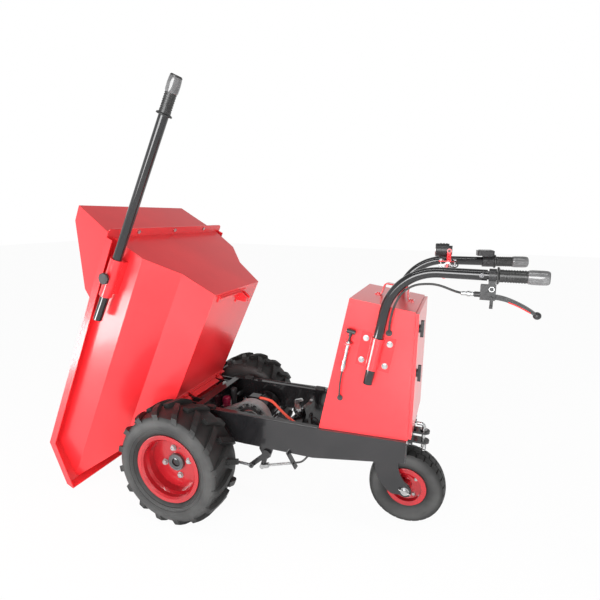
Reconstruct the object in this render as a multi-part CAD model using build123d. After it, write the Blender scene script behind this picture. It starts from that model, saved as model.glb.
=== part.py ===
from build123d import *
import math
import os

# Electric power barrow with three wheels and a tipping skip, in millimetres
# X runs from the skip to the operator, Z is up and the ground is at Z = 0
# Everything is built with X = 0 on the main axle and then shifted

# Fits between parts
running = 0.06
seat_fit = 0.15
bolt_fit = 0.2
clear = 0.4
sheet = 2.0

# Main wheels
tyre_radius = 199.0
tyre_half = 74.0
wheel_plane = 270.0
lug_height = 14.0
lug_count = 16
lug_width = 19.0
tyre_wall = 9.0
rim_half = 62.0
rim_flange = 116.0
rim_seat = 101.0
rim_drop = 5.0
rim_bevel = 5.5
rim_wall = 4.0
disc_depth = 55.0
disc_thick = 5.0
wheel_bolts = 4
wheel_bolt_circle = 48.0
wheel_bolt_turn = 14.0
wheel_bolt = 5.0
spigot = 24.0
hub_flange = 62.0
hub_flange_thick = 10.0
drum_radius = 79.0
drum_wall = 6.0
drum_length = 42.0
half_shaft = 15.0
axle_tube = 26.0
axle_z = tyre_radius
disc_back = disc_depth - rim_half + disc_thick
drum_face = disc_back + hub_flange_thick
drum_end = drum_face + drum_length

# Chassis
chassis_half = 162.0
plate = 4.0
chassis_front = -12.0
chassis_rear = 718.0
chassis_top = 342.0
chassis_top_rear = 352.0
chassis_low = 241.0
chassis_low_rear = 285.0
low_break = 430.0
box_front = 446.0
flange_width = 25.0
well_floor = 262.0
front_low = 266.0
well_floor_x = 296.0
tray_x = 470.0
tray_z = 306.0
head_z = 284.0
lug_planes = ((92.0, 98.0), (126.0, 132.0))
u_bolt = 5.0
u_bolt_span = axle_tube + u_bolt + clear
u_bolt_y = chassis_half - 16
pad_spots = ((52.0, -1), (52.0, 1), (356.0, 1))

# Drive
motor_x = 139.0
motor_z = 250.0
terminal_x = motor_x + 14
case_front = -20.0
case_back = 14.0
controller_x = box_front + 30
battery_x = controller_x + 52

# Skip, measured from its hinge axis with the floor level
hinge_x = -70.0
hinge_z = 331.0
tip_angle = 66.4
hinge_pin = 6.0
floor_lift = 20.0
floor_front = -89.0
floor_rear = 441.0
lip_x = -415.0
lip_rise = 207.0
kink_x = -305.0
rear_rim_x = 502.0
rim_rise = 324.0
floor_half = 162.0
low_fold_half = 197.0
low_fold_rise = 117.0
high_fold_half = 285.0
high_fold_rise = 211.0
skip_rim_half = 300.0
skip_flange = 28.0
rear_flange = 27.0
skip_flange_thick = 3.0
rim_lip = 24.0
rim_corner = 14.0
lip_fold = 32.0
board_rise = 176.0
board_half = 276.0
board_lean = 26.0
screw_pitch = 193.0
screw_spots = (-screw_pitch, 0.0, screw_pitch)
screw_x = rear_rim_x + 15
rear_slope = (rear_rim_x - floor_rear) / rim_rise
front_slope = (floor_front - lip_x) / lip_rise
side_slope = (skip_rim_half - high_fold_half) / (rim_rise - high_fold_rise)

# Dump handle on the left of the skip
bar_radius = 14.0
handle_y = -328.0
handle_low = (242.0, 292.0)
handle_tilt = -2.1
handle_length = 656.0
handle_grip = 100.0
sleeve_low = 88.0
sleeve_length = 128.0
sleeve_radius = 19.0
knob_radius = 18.0

# Console box
box_half = 150.0
box_rear = 720.0
box_top_front = 766.0
box_top_rear = 740.0
box_top_x = 530.0
door_gap = 0.5
door_depth = 9.5
door_border = 18.0
door_hinge_x = box_rear + 4.5
door_hinge_y = box_half + 5.5
hinge_levels = (420.0, 640.0)
latch_levels = (556.0, 689.0)
latch_hole = (box_front + 66, 455.0)
brake_hole = (box_rear - 70, 674.0)
guide_top = (box_top_x + 5, 634.0)
guide_y = -box_half - 11
guide_lean = 10.5

# Handlebars
leg_y = 168.0
leg_foot = (597.5, 520.0)
leg_corner = (656.0, 858.0)
leg_bend = 145.0
tube_end = (892.0, 189.0, 860.0)
bar_end = (1029.0, 203.0, 862.0)
core_radius = 11.0
grip_radius = 16.0
grip_length = 116.0
lamp_bar_x = 787.0
lamp_bar_z = 850.0
lamp_bar = 8.0
lamp_ring = lamp_bar + 3
lamp_y = 110.0
lamp_pivot = (lamp_bar_x + 3, 897.0)
lamp_arm = 27.0
throttle_start = 36.0

# Brake lever, along the left bar from its tube end and down from its axis
lever_pivot = (-46.0, 6.0)
lever_course = ((-8.0, 14.0), (-10.0, 31.0), (-15.0, 50.0), (-24.0, 73.0), (-36.0, 96.0), (-47.0, 112.0))
lever_half = 7.0
park_pivot = (-57.0, 14.0)
casing_radius = 3.0
casing_bore = 2.5
wire_radius = 1.5

# Caster
caster_radius = 125.0
caster_half = 42.0
caster_x = 714.0
swivel_x = 648.0
caster_rim_half = 34.0
caster_flange = 66.0
caster_seat = 54.0
caster_axle = 8.0
stem_radius = 12.0
fork_gap = 50.0
fork_plate = 7.0
fork_top = head_z - 21.5
caster_blocks = 28

# Brake linkage, on the left unless mirrored
shaft_x = 270.0
shaft_z = 221.0
cross_shaft = 8.0
crank_y = 162.0
crank_plate = 6.0
rod_arm = (-51.0, -47.0)
pull_arm = (-12.0, -44.0)
cam_offset = (46.0, 44.0)
cam_length = 46.0
stop_point = (368.0, 211.0)
spring_radius = 4.0
spring_wire = 1.2
spring_turns = 15

# Skip latch
latch_x = 312.0
latch_y = 45.0
latch_z = 290.0
latch_swing = 18.0
latch_stop = latch_x + 38
hook_planes = (-13.0, -2.0)
tail_planes = (8.0, 12.0)
striker_legs = ((-21.0, -16.0), (1.0, 6.0))
striker_bar = 5.0
striker_drop = 30.0
striker_x = 405.0

# Tow hitch
tow_x = chassis_rear + 39
tow_pin = 6.0
tow_low = 281.0
tow_high = 314.0
tow_plate = 7.0

front_x = hinge_x + kink_x * math.cos(math.radians(tip_angle))
front_x -= (floor_lift + rim_rise) * math.sin(math.radians(tip_angle))
origin_x = (bar_end[0] + front_x) / 2


def block(x0, x1, y0, y1, z0, z1):
    middle = Pos((x0 + x1) / 2, (y0 + y1) / 2, (z0 + z1) / 2)
    return middle * Box(x1 - x0, y1 - y0, z1 - z0)


def slab(points, y0, y1):
    """Flat plate with an outline given in X and Z, between two Y planes."""
    outline = make_face(Polyline(*[(x, y0, z) for x, z in points], close=True))
    return extrude(outline, amount=y1 - y0, dir=(0, 1, 0))


def beam(points, x0, x1):
    """Prism with a section given in Y and Z, between two X planes."""
    outline = make_face(Polyline(*[(x0, y, z) for y, z in points], close=True))
    return extrude(outline, amount=x1 - x0, dir=(1, 0, 0))


def across(x, z, radius, y0, y1):
    return Pos(x, (y0 + y1) / 2, z) * Rot(90, 0, 0) * Cylinder(radius, y1 - y0)


def upright(x, y, radius, z0, z1):
    return Pos(x, y, (z0 + z1) / 2) * Cylinder(radius, z1 - z0)


def endways(y, z, radius, x0, x1):
    return Pos((x0 + x1) / 2, y, z) * Rot(0, 90, 0) * Cylinder(radius, x1 - x0)


def rod(start, end, radius):
    run = Vector(*end) - Vector(*start)
    return Part() + Solid.make_cylinder(radius, run.length, Plane(Vector(*start), z_dir=run))


def turned(points):
    """Turned part about the Y axis from radius and Y pairs."""
    return revolve(make_face(Polyline(*points, close=True)), Axis.Y)


def lathe(points):
    """Turned part about the Z axis from radius and Z pairs."""
    return revolve(make_face(Polyline(*[(r, 0, z) for r, z in points], close=True)), Axis.Z)


def hex_across(x, z, flats, y0, y1):
    prism = extrude(RegularPolygon(flats / 2, 6, major_radius=False), y1 - y0)
    return Pos(x, y0, z) * Rot(-90, 0, 0) * prism


def hex_up(x, y, flats, z0, z1):
    return Pos(x, y, z0) * extrude(RegularPolygon(flats / 2, 6, major_radius=False), z1 - z0)


def mirrored(shape):
    return mirror(shape, about=Plane.XZ)


def cord(name, points, radius):
    """Round cord along straight runs joined by arcs as wide as the runs allow."""
    spots = [Vector(*p) for p in points]
    radii = []
    for before, here, after in zip(spots, spots[1:], spots[2:]):
        run_in = here - before
        run_out = after - here
        half_turn = math.radians(run_in.get_angle(run_out)) / 2
        radii.append(0.45 * min(run_in.length, run_out.length) / math.tan(half_turn))
    line = FilletPolyline(*points, radius=radii)
    start = Plane(spots[0], z_dir=spots[1] - spots[0])
    shape = sweep(start * Circle(radius), path=line)
    ratio = shape.volume / (math.pi * radius * radius * line.length)
    print(name, "length", round(line.length, 1), "least bend", round(min(radii), 1))
    print(name, "volume", round(ratio, 4))
    return shape


def tyre(flange, seat, half_seat, half, crown, wall, drop):
    """Hollow tyre with its bead between the rim flanges, and the space inside it."""
    bead = half_seat - rim_wall - clear
    low = flange + clear
    side = (low + crown) / 2 + 1
    shoulder = (crown - drop, half * 0.87)
    skin = Line((seat + clear, bead), (low, bead))
    skin += ThreePointArc((low, bead), (side, half), shoulder)
    skin += ThreePointArc(shoulder, (crown, 0), (shoulder[0], -shoulder[1]))
    skin += ThreePointArc((shoulder[0], -shoulder[1]), (side, -half), (low, -bead))
    skin += Line((low, -bead), (seat + clear, -bead))
    skin += Line((seat + clear, -bead), (seat + clear, bead))
    inner = bead - wall * 1.2
    top = (crown - drop - wall, shoulder[1] - wall)
    space = Line((seat - 2, inner), (low + 2, inner))
    space += ThreePointArc((low + 2, inner), (side, half - wall), top)
    space += ThreePointArc(top, (crown - wall, 0), (top[0], -top[1]))
    space += ThreePointArc((top[0], -top[1]), (side, -half + wall), (low + 2, -inner))
    space += Line((low + 2, -inner), (seat - 2, -inner))
    space += Line((seat - 2, -inner), (seat - 2, inner))
    return revolve(make_face(skin), Axis.Y), revolve(make_face(space), Axis.Y)


def main_tyre():
    crown = tyre_radius - lug_height
    body, space = tyre(rim_flange, rim_seat, rim_half, tyre_half, crown, tyre_wall, 7.0)
    reach = tyre_half * 0.87 + 6
    top = [(0, -reach), (crown - 12, -reach), (crown + 3, -reach + 3)]
    top += [(tyre_radius - 4, -tyre_half * 0.72), (tyre_radius, -tyre_half * 0.45)]
    envelope = turned(top + [(r, -y) for r, y in reversed(top)])
    sweep_back = 39.0
    plan = Polyline((-8, 6), (lug_width - 8, 6), (lug_width - 8 + sweep_back, -reach - 1),
                    (sweep_back - 9, -reach - 1), close=True)
    lug = extrude(Pos(0, 0, crown - 35) * make_face(plan), lug_height + 45) & envelope
    pitch = 360 / lug_count
    lugs = []
    for k in range(lug_count):
        lugs.append(Rot(0, k * pitch, 0) * lug)
        lugs.append(Rot(0, (k + 0.5) * pitch, 0) * mirrored(lug))
    return body.fuse(*lugs) - space


def main_rim():
    half = rim_half
    face = disc_depth - half
    well = rim_seat - rim_drop
    outer = [(rim_flange, -half), (rim_flange, -half + rim_wall), (rim_seat, -half + rim_wall)]
    outer += [(rim_seat, -40), (well, -30)]
    skin = outer + [(r, -y) for r, y in reversed(outer)]
    bore = rim_seat - rim_wall
    back = [(bore + rim_bevel, half), (bore, half - rim_bevel), (bore, 42), (well - rim_wall, 32)]
    disc = [(well - rim_wall, face + disc_thick), (spigot + seat_fit, face + disc_thick)]
    disc += [(spigot + seat_fit, face), (well - rim_wall, face)]
    front = [(r, -y) for r, y in reversed(back)]
    shape = turned(skin + back + disc + front)
    holes = [across(*spot, wheel_bolt + bolt_fit, -half, half) for spot in bolt_spots()]
    shape = shape.cut(*holes)
    tips = shape.edges().filter_by(GeomType.CIRCLE).filter_by(lambda e: e.radius > rim_flange - 1)
    return fillet(tips, rim_wall * 0.42)


def bolt_spots():
    spots = []
    for k in range(wheel_bolts):
        turn = math.radians(wheel_bolt_turn + k * 360 / wheel_bolts)
        spots.append((wheel_bolt_circle * math.cos(turn), wheel_bolt_circle * math.sin(turn)))
    return spots


def wheel_hub():
    face = disc_back - disc_thick
    inside = drum_face + drum_wall
    points = [(0, face - 1), (15, face - 1), (15, face - 9), (spigot, face - 9), (spigot, disc_back)]
    points += [(hub_flange, disc_back), (hub_flange, drum_face), (drum_radius, drum_face)]
    points += [(drum_radius, drum_end), (drum_radius - drum_wall, drum_end)]
    points += [(drum_radius - drum_wall, inside)]
    points += [(half_shaft, inside), (half_shaft, wheel_plane - 96), (0, wheel_plane - 96)]
    holes = [across(*spot, wheel_bolt + bolt_fit, disc_back - 1, drum_face) for spot in bolt_spots()]
    return turned(points).cut(*holes)


def wheel_fixings():
    face = disc_back - disc_thick
    pieces = []
    for x, z in bolt_spots():
        shank = across(x, z, wheel_bolt, face - 1, drum_face - 1)
        washer = across(x, z, 10.5, face - 2, face)
        pieces.append(shank + washer + hex_across(x, z, 15, face - 8, face - 2))
    return pieces


def backing_plate():
    disc = across(0, 0, drum_radius + 1, drum_end + 1, drum_end + 5)
    disc -= across(0, 0, axle_tube - 1, drum_end, drum_end + 6)
    return disc - across(*cam_offset, 7 + bolt_fit, drum_end, drum_end + 6)


def brake_shoes():
    outer = drum_radius - drum_wall - 0.5
    lean = math.degrees(math.atan2(cam_offset[1], cam_offset[0]))
    pieces = []
    for start in (lean + 24, lean + 204):
        section = Pos((outer + 58) / 2, drum_end - 15, 0) * Rectangle(outer - 58, 32)
        pieces.append(Rot(0, -start, 0) * revolve(section, Axis.Y, -132))
    return pieces


def wheel_place(shape):
    return Pos(0, -wheel_plane, axle_z) * shape


def chassis_frame():
    half = chassis_half
    inner = half - plate
    outline = [(chassis_front, chassis_low), (low_break, chassis_low), (chassis_rear, chassis_low_rear)]
    outline += [(chassis_rear, chassis_top_rear), (box_front, chassis_top), (chassis_front, chassis_top)]
    top = [(chassis_front, chassis_top - plate), (box_front, chassis_top - plate)]
    top += [(chassis_rear, chassis_top_rear - plate), (chassis_rear, chassis_top_rear)]
    top += [(box_front, chassis_top), (chassis_front, chassis_top)]
    left = slab(outline, -half, -inner)
    left += slab(top, -half, -half + flange_width)
    cradle = block(-25.5, 25.5, -inner - 2, -inner + 24, axle_z, chassis_low + 5)
    cradle += block(-48, 48, -inner - 2, -inner + 24, chassis_low - 1, chassis_low + 5)
    cradle -= across(0, axle_z, axle_tube + seat_fit, -half, -100)
    for x in (-u_bolt_span, u_bolt_span):
        cradle -= upright(x, -u_bolt_y, u_bolt + bolt_fit, chassis_low - 10, chassis_low + 10)
    left += cradle
    hanger = [(243, 250), (292, 250), (292, 238), (282, 208), (258, 208), (243, 232)]
    left += slab(hanger, -inner - 2, -inner + 4)
    left -= across(shaft_x, shaft_z, cross_shaft + running, -half, -100)
    frame = left + mirrored(left)
    lug = [(chassis_front + 1, front_low), (chassis_front + 1, chassis_top), (hinge_x, hinge_z + 13)]
    lug += [(hinge_x - 12, hinge_z - 4)]
    for y0, y1 in lug_planes:
        ear = slab(lug, y0, y1) + across(hinge_x, hinge_z, 13, y0, y1)
        ear -= across(hinge_x, hinge_z, hinge_pin + bolt_fit, y0 - 1, y1 + 1)
        frame += ear
        frame += mirrored(ear)
    frame += block(chassis_front, chassis_front + plate, -inner, inner, front_low, chassis_top)
    front_flange = chassis_front + flange_width
    frame += block(chassis_front, front_flange, -inner, inner, chassis_top - plate, chassis_top)
    back = chassis_rear - plate
    frame += block(back, chassis_rear, -inner, inner, chassis_low_rear, chassis_top_rear - 1)
    frame += block(well_floor_x, box_front, -inner + 30, inner, well_floor, well_floor + plate)
    frame += block(well_floor_x, well_floor_x + 34, -inner, -inner + 30, well_floor, well_floor + plate)
    tray = block(tray_x, chassis_rear - plate, -inner, inner, tray_z, tray_z + plate)
    notch = block(tray_x - 1, tray_x + 50, -inner - 1, -inner + 48, tray_z - 1, tray_z + plate + 1)
    frame += tray - notch
    head = block(588, chassis_rear - plate, -inner, inner, head_z, head_z + 6)
    frame += head - upright(swivel_x, 0, stem_radius + 2, head_z - 1, head_z + 7)
    for y0, y1 in ((latch_y - 20, latch_y - 14), (latch_y + 14, latch_y + 20)):
        cheek = slab([(latch_x - 18, well_floor), (latch_x + 18, well_floor), (latch_x + 9, latch_z + 9),
                      (latch_x - 9, latch_z + 9)], y0, y1)
        frame += cheek - across(latch_x, latch_z, 5 + bolt_fit, y0 - 1, y1 + 1)
    post = block(latch_stop, latch_stop + 8, latch_y - 12, latch_y + 12, well_floor, latch_z - 4)
    frame += post - endways(latch_y, latch_z - 16, 2.5 + bolt_fit, latch_stop - 1, latch_stop + 9)
    run = Vector(28, 0, -46).normalized()
    side = Vector(-run.Z, 0, run.X) * -2.5
    low = Vector(stop_point[0], 0, stop_point[1]) + run * 18
    high = Vector(stop_point[0], 0, stop_point[1]) - run * 42
    strip = [(p.X, p.Z) for p in (low + side, high + side, high - side, low - side)]
    stop = slab(strip, -crank_y - 13, -inner + 2)
    frame += stop - rod(cable_stop(-12), cable_stop(12), 3.2)
    return frame


def cable_stop(step):
    """Point on the line from the pull arm through the cable stop, a step beyond the stop."""
    pull = Vector(shaft_x + pull_arm[0], -crank_y - 3, shaft_z + pull_arm[1])
    stop = Vector(stop_point[0], -crank_y - 3, stop_point[1])
    spot = stop + (stop - pull).normalized() * step
    return (spot.X, spot.Y, spot.Z)


def u_bolts():
    pieces = []
    for side in (-1, 1):
        y = side * u_bolt_y
        top = chassis_low + 16
        path = Line((-u_bolt_span, y, top), (-u_bolt_span, y, axle_z))
        low = axle_z - u_bolt_span
        path += ThreePointArc((-u_bolt_span, y, axle_z), (0, y, low), (u_bolt_span, y, axle_z))
        path += Line((u_bolt_span, y, axle_z), (u_bolt_span, y, top))
        bolt = sweep(Plane((-u_bolt_span, y, top), z_dir=(0, 0, -1)) * Circle(u_bolt), path=path)
        for x in (-u_bolt_span, u_bolt_span):
            bolt += hex_up(x, y, 16, chassis_low + 5, chassis_low + 13)
        pieces.append(bolt)
    return pieces


def rest_pads():
    top = hinge_z + floor_lift - clear
    pieces = []
    for x, side in pad_spots:
        y = side * (chassis_half - 13)
        pieces.append(block(x - 17, x + 17, y - 9, y + 9, chassis_top, top))
    return pieces


def hinge_bolts():
    pieces = []
    first = lug_planes[0][0]
    last = lug_planes[1][1]
    for side in (1, -1):
        bolt = hex_across(hinge_x, hinge_z, 19, first - 6, first)
        bolt += across(hinge_x, hinge_z, hinge_pin, first - 1, last + 9)
        bolt += hex_across(hinge_x, hinge_z, 19, last, last + 8)
        pieces.append(bolt if side > 0 else mirrored(bolt))
    return pieces


def axle_housing():
    reach = wheel_plane - drum_face - drum_wall - 4
    body = across(0, axle_z, axle_tube, -reach, reach)
    body += across(0, axle_z, 57, case_back, 62)
    body += across(0, axle_z, 44, 60, 76)
    body += across(0, axle_z, 48, -58, case_front)
    body += wheel_place(backing_plate())
    body += mirrored(wheel_place(backing_plate()))
    return body - across(0, axle_z, half_shaft + running, -reach - 1, reach + 1)


def gear_case():
    low = across(0, axle_z, 56, case_front, case_back)
    high = across(motor_x, motor_z, 74, case_front, case_back)
    run = Vector(motor_x, 0, motor_z - axle_z).normalized()
    side = Vector(-run.Z, 0, run.X)
    corners = [(side.X * 55, axle_z + side.Z * 55), (motor_x + side.X * 70, motor_z + side.Z * 70)]
    corners += [(motor_x - side.X * 70, motor_z - side.Z * 70), (-side.X * 55, axle_z - side.Z * 55)]
    case = low + high + slab(corners, case_front + 3, case_back)
    case -= across(motor_x, motor_z, 66, case_front - 1, case_front + 9)
    case += across(motor_x, motor_z, 40, case_front + 2, case_front + 14)
    for k in range(12):
        spoke = block(36, 68, case_front + 1, case_front + 12, -2.5, 2.5)
        case += Pos(motor_x, 0, motor_z) * Rot(0, k * 30, 0) * spoke
    case -= across(motor_x, motor_z, 26, case_front - 1, case_front + 7)
    case += across(motor_x, motor_z, 15, case_front, case_front + 12)
    for k in range(6):
        turn = math.radians(20 + k * 60)
        x = motor_x + 70 * math.cos(turn)
        z = motor_z + 70 * math.sin(turn)
        case += hex_across(x, z, 8, case_front - 4, case_front + 4)
    return case - across(0, axle_z, axle_tube + seat_fit, case_front - 1, case_back + 1)


def drive_motor():
    body = across(motor_x, motor_z, 60, case_back, 128)
    body += across(motor_x, motor_z, 64, case_back, case_back + 10)
    for k in range(18):
        fin = block(58, 64, case_back + 16, 112, -2, 2)
        body += Pos(motor_x, 0, motor_z) * Rot(0, k * 20, 0) * fin
    body += across(motor_x, motor_z, 44, 127, 140)
    body += block(motor_x - 24, terminal_x, 22, 56, motor_z + 50, motor_z + 76)
    return body


def motor_cable():
    top = motor_z + 70
    points = [(terminal_x, 34, top), (terminal_x + 24, 34, top), (terminal_x + 56, 27, top - 2)]
    points += [(terminal_x + 98, 6, 298), (terminal_x + 148, -24, 285), (352, -46, 276)]
    points += [(400, -57, 275), (434, -56, 284), (450, -50, 314)]
    points += [(458, -40, 346), (controller_x - 12, -38, 366), (controller_x, -38, 366)]
    return cord("motor_cable", points, 5.0)


def controller():
    low = tray_z + plate
    case = block(controller_x, controller_x + 46, -60, 60, low, low + 120)
    for k in range(7):
        y = -48 + 16 * k
        case -= block(controller_x + 34, controller_x + 47, y - 5, y + 5, low + 12, low + 121)
    return case


def batteries():
    pieces = []
    for y in (-79, 0.5):
        for level in (0, 1):
            z = tray_z + plate + level * 167
            cell = block(battery_x, battery_x + 181, y, y + 78, z, z + 160)
            for x in (battery_x + 22, battery_x + 150):
                cell += block(x - 7, x + 7, y + 30, y + 46, z + 159, z + 167)
            pieces.append(cell)
    return pieces


def skip_place(shape):
    return Pos(hinge_x, 0, hinge_z) * Rot(0, -tip_angle, 0) * shape


def skip_point(x, y, z):
    turn = math.radians(tip_angle)
    across_x = hinge_x + x * math.cos(turn) - z * math.sin(turn)
    return (across_x, y, hinge_z + x * math.sin(turn) + z * math.cos(turn))


def skip_outer(inset):
    """Filled skip; an inset copy runs on past the rim so that it can hollow the other out."""
    top = floor_lift + rim_rise
    long = [(floor_front, floor_lift), (floor_rear, floor_lift)]
    wide = [(floor_half, floor_lift), (low_fold_half, floor_lift + low_fold_rise)]
    wide += [(high_fold_half, floor_lift + high_fold_rise), (skip_rim_half, top)]
    if inset:
        over = rim_rise + 300
        high = floor_lift + over
        long += [(floor_rear + rear_slope * over, high), (floor_front - front_slope * over, high)]
        wide += [(skip_rim_half + side_slope * 200, top + 200)]
    else:
        long += [(rear_rim_x, top), (kink_x, top), (lip_x, floor_lift + lip_rise)]
    wide += [(-y, z) for y, z in reversed(wide)]
    side_view = make_face(Polyline(*[(x, 0, z) for x, z in long], close=True))
    end_view = make_face(Polyline(*[(0, y, z) for y, z in wide], close=True))
    if inset:
        side_view = offset(side_view, amount=-inset, kind=Kind.INTERSECTION)
        end_view = offset(end_view, amount=-inset, kind=Kind.INTERSECTION)
    length = extrude(side_view, amount=500, dir=(0, 1, 0), both=True)
    return length & extrude(end_view, amount=1500, dir=(1, 0, 0), both=True)


def skip_body():
    space = skip_outer(sheet)
    top = floor_lift + rim_rise
    front = floor_lift + lip_rise
    thick = skip_flange_thick
    edge = skip_rim_half + skip_flange
    rim = [(rear_rim_x, top), (kink_x, top), (lip_x, front), (lip_x, front - thick * 1.4)]
    rim += [(kink_x + 1, top - thick), (rear_rim_x, top - thick)]
    flange = slab(rim, high_fold_half - sheet - 4, edge)
    run = Vector(lip_x - kink_x, 0, front - top).normalized()
    bend = rim_lip * (1 + run.X) / -run.Z
    hem = [(rear_rim_x, top), (kink_x, top), (lip_x, front), (lip_x, front - lip_fold)]
    hem += [(kink_x + bend, top - rim_lip), (rear_rim_x, top - rim_lip)]
    flange += slab(hem, edge - thick, edge)
    band = block(rear_rim_x - sheet * 2, rear_rim_x + rear_flange, -edge, edge, top - thick, top)
    band = fillet(band.edges().filter_by(Axis.Z).group_by(Axis.X)[-1], rim_corner)
    lip = block(lip_x - sheet, lip_x + 1, -edge, edge, front - lip_fold, front)
    trim = (flange + mirrored(flange) + band + lip) - space
    shell = skip_outer(0) - space + trim
    for y in screw_spots:
        shell -= upright(screw_x, y, 3 + bolt_fit, top - 10, top + 1)
    return shell


def skip_extension():
    top = floor_lift + rim_rise
    high = top + board_rise
    x0 = rear_rim_x
    lean = board_lean
    half = skip_rim_half
    side = [(x0 - 232, top), (x0, top), (x0 + lean, high), (x0 - 26, high), (x0 - 214, top + 56)]
    side += [(x0 - 232, top + 22)]
    end = [(-half, top), (half, top), (board_half, high), (-board_half, high)]
    outer = slab(side, -half, half) & beam(end, 0, 900)
    room = [(x0 - 300, top - 1), (x0 - sheet, top - 1), (x0 - sheet, top), (x0 + lean - sheet, high)]
    room += [(x0 + lean - sheet + 1, high + 9), (x0 - 300, high + 9)]
    slim = half - sheet
    taper = (half - board_half) / board_rise
    low_half = slim + taper
    high_half = slim - taper * (board_rise + 9)
    gap = [(-low_half, top - 1), (low_half, top - 1), (high_half, high + 9), (-high_half, high + 9)]
    board = outer - (slab(room, -half, half) & beam(gap, 0, 900))
    foot = block(x0 - sheet, x0 + rear_flange - 1, -half, half, top, top + 3)
    for y in screw_spots:
        foot -= upright(screw_x, y, 3 + bolt_fit, top - 1, top + 4)
    return board + foot


def extension_screws():
    top = floor_lift + rim_rise
    low = top - skip_flange_thick
    pieces = []
    for y in screw_spots:
        screw = upright(screw_x, y, 3, low - 1, top + 11)
        screw += upright(screw_x, y, 6.5, low - 4, low)
        screw += hex_up(screw_x, y, 10, top + 3, top + 8)
        pieces.append(screw)
    return pieces


def hinge_bar():
    length = floor_half - 3
    inner = lug_planes[0][0] - 8
    low = floor_lift - 4
    bar = block(-20, 20, -length, length, low, floor_lift)
    bar += block(16, 20, -length, length, low - 8, low + 1)
    for y0, y1 in lug_planes:
        slot = block(10, 21, y0 - 2, y1 + 2, low - 9, low)
        bar -= slot
        bar -= mirrored(slot)
    tube = block(-16, 16, -inner, inner, -14, low + 1)
    bar += tube - block(-12, 12, -inner - 1, inner + 1, -15, low - 4)
    y0 = lug_planes[0][1] + clear
    y1 = lug_planes[1][0] - clear
    knuckle = block(-13, 13, y0, y1, 0, low + 1) + across(0, 0, 13, y0, y1)
    knuckle -= across(0, 0, hinge_pin + running, y0 - 1, y1 + 1)
    return bar + knuckle + mirrored(knuckle)


def striker():
    low = floor_lift - striker_drop
    plate_low = floor_lift - 4
    first = latch_y + striker_legs[0][0]
    last = latch_y + striker_legs[1][1]
    body = block(striker_x - 24, striker_x + 24, first - 12, last + 12, plate_low, floor_lift)
    for y0, y1 in striker_legs:
        leg = [(striker_x - 18, plate_low + 1), (striker_x + 18, plate_low + 1), (striker_x + 9, low - 4)]
        leg += [(striker_x - 9, low - 4)]
        body += slab(leg, latch_y + y0, latch_y + y1)
    body += across(striker_x, low, striker_bar, first - 4, last)
    end = -chassis_half + flange_width + 6
    edge = block(striker_x + 20, striker_x + 24, end, first - 11, floor_lift - 12, floor_lift)
    strip = block(striker_x + 4, striker_x + 24, end, first - 11, plate_low, floor_lift)
    return body + edge + strip


def handle_place(shape):
    """Puts a part built along Z from the lower end of the dump handle into the skip frame."""
    low = Pos(handle_low[0], handle_y, handle_low[1])
    return low * Rot(0, 90 - handle_tilt, 0) * shape


def handle_sleeve():
    top = sleeve_low + sleeve_length
    ring = Pos(0, 0, sleeve_low + sleeve_length / 2) * Cylinder(sleeve_radius, sleeve_length)
    foot = block(-14, 14, 12, 60, sleeve_low + 8, top - 8)
    pad = block(-34, 34, -handle_y - skip_rim_half - 6, 60, sleeve_low - 10, top + 4)
    body = ring + foot
    body -= Pos(0, 0, sleeve_low + sleeve_length / 2) * Cylinder(bar_radius + running, sleeve_length * 2)
    stud = sleeve_low + 64
    body += Pos(0, -sleeve_radius - 1, stud) * Rot(90, 0, 0) * Cylinder(9, 8)
    body -= Pos(0, -sleeve_radius, stud) * Rot(90, 0, 0) * Cylinder(4 + running, 14)
    body -= Pos(0, 0, sleeve_low + sleeve_length / 2) * Cylinder(bar_radius + running, sleeve_length * 2)
    placed = handle_place(body)
    return placed - skip_outer(0)


def dump_handle():
    straight = handle_length
    tube = Pos(0, 0, straight / 2) * Cylinder(bar_radius, straight)
    tube += Pos(0, 0, straight + handle_grip / 2) * Cylinder(core_radius, handle_grip)
    tube -= Pos(0, 0, 200) * Cylinder(bar_radius - 2.5, 402)
    return handle_place(tube)


def grip_shape(length, bore, ribs):
    """Rubber hand grip along Z with a collar, ribs and an end bulb."""
    r = grip_radius
    points = [(bore, 0), (r + 5.5, 0), (r + 6, 2), (r + 5.5, 4), (r, 7)]
    z = 12.0
    step = (length * 0.58 - z) / ribs
    for k in range(ribs):
        points += [(r, z + step * 0.55), (r - 1.1, z + step * 0.6)]
        points += [(r - 1.1, z + step * 0.95), (r, z + step)]
        z += step
    points += [(r, z + 4), (r + 1.6, z + 12), (r + 1.6, length - 22), (r + 0.4, length - 14)]
    points += [(r + 0.4, length - 3), (r - 2.5, length), (0, length), (0, length - 6), (bore, length - 6)]
    return lathe(points)


def dump_grip():
    grip = grip_shape(handle_grip + 7, core_radius + seat_fit, 8)
    return handle_place(Pos(0, 0, handle_length + 0.2) * grip)


def clamp_knob():
    low = sleeve_radius + 5
    profile = [(0, low + 0.6), (7, low + 0.6), (knob_radius - 2, low + 2), (knob_radius, low + 3)]
    profile += [(knob_radius, low + 9.5), (knob_radius - 2, low + 11), (0, low + 11)]
    head = lathe(profile)
    for k in range(8):
        turn = math.radians(k * 45)
        notch = Pos((knob_radius + 3) * math.cos(turn), (knob_radius + 3) * math.sin(turn), low + 9)
        head -= notch * Cylinder(5, 20)
    head += Pos(0, 0, (bar_radius + clear + low + 4) / 2) * Cylinder(4, low + 4 - bar_radius - clear)
    return handle_place(Pos(0, 0, sleeve_low + 64) * Rot(90, 0, 0) * head)


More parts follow.
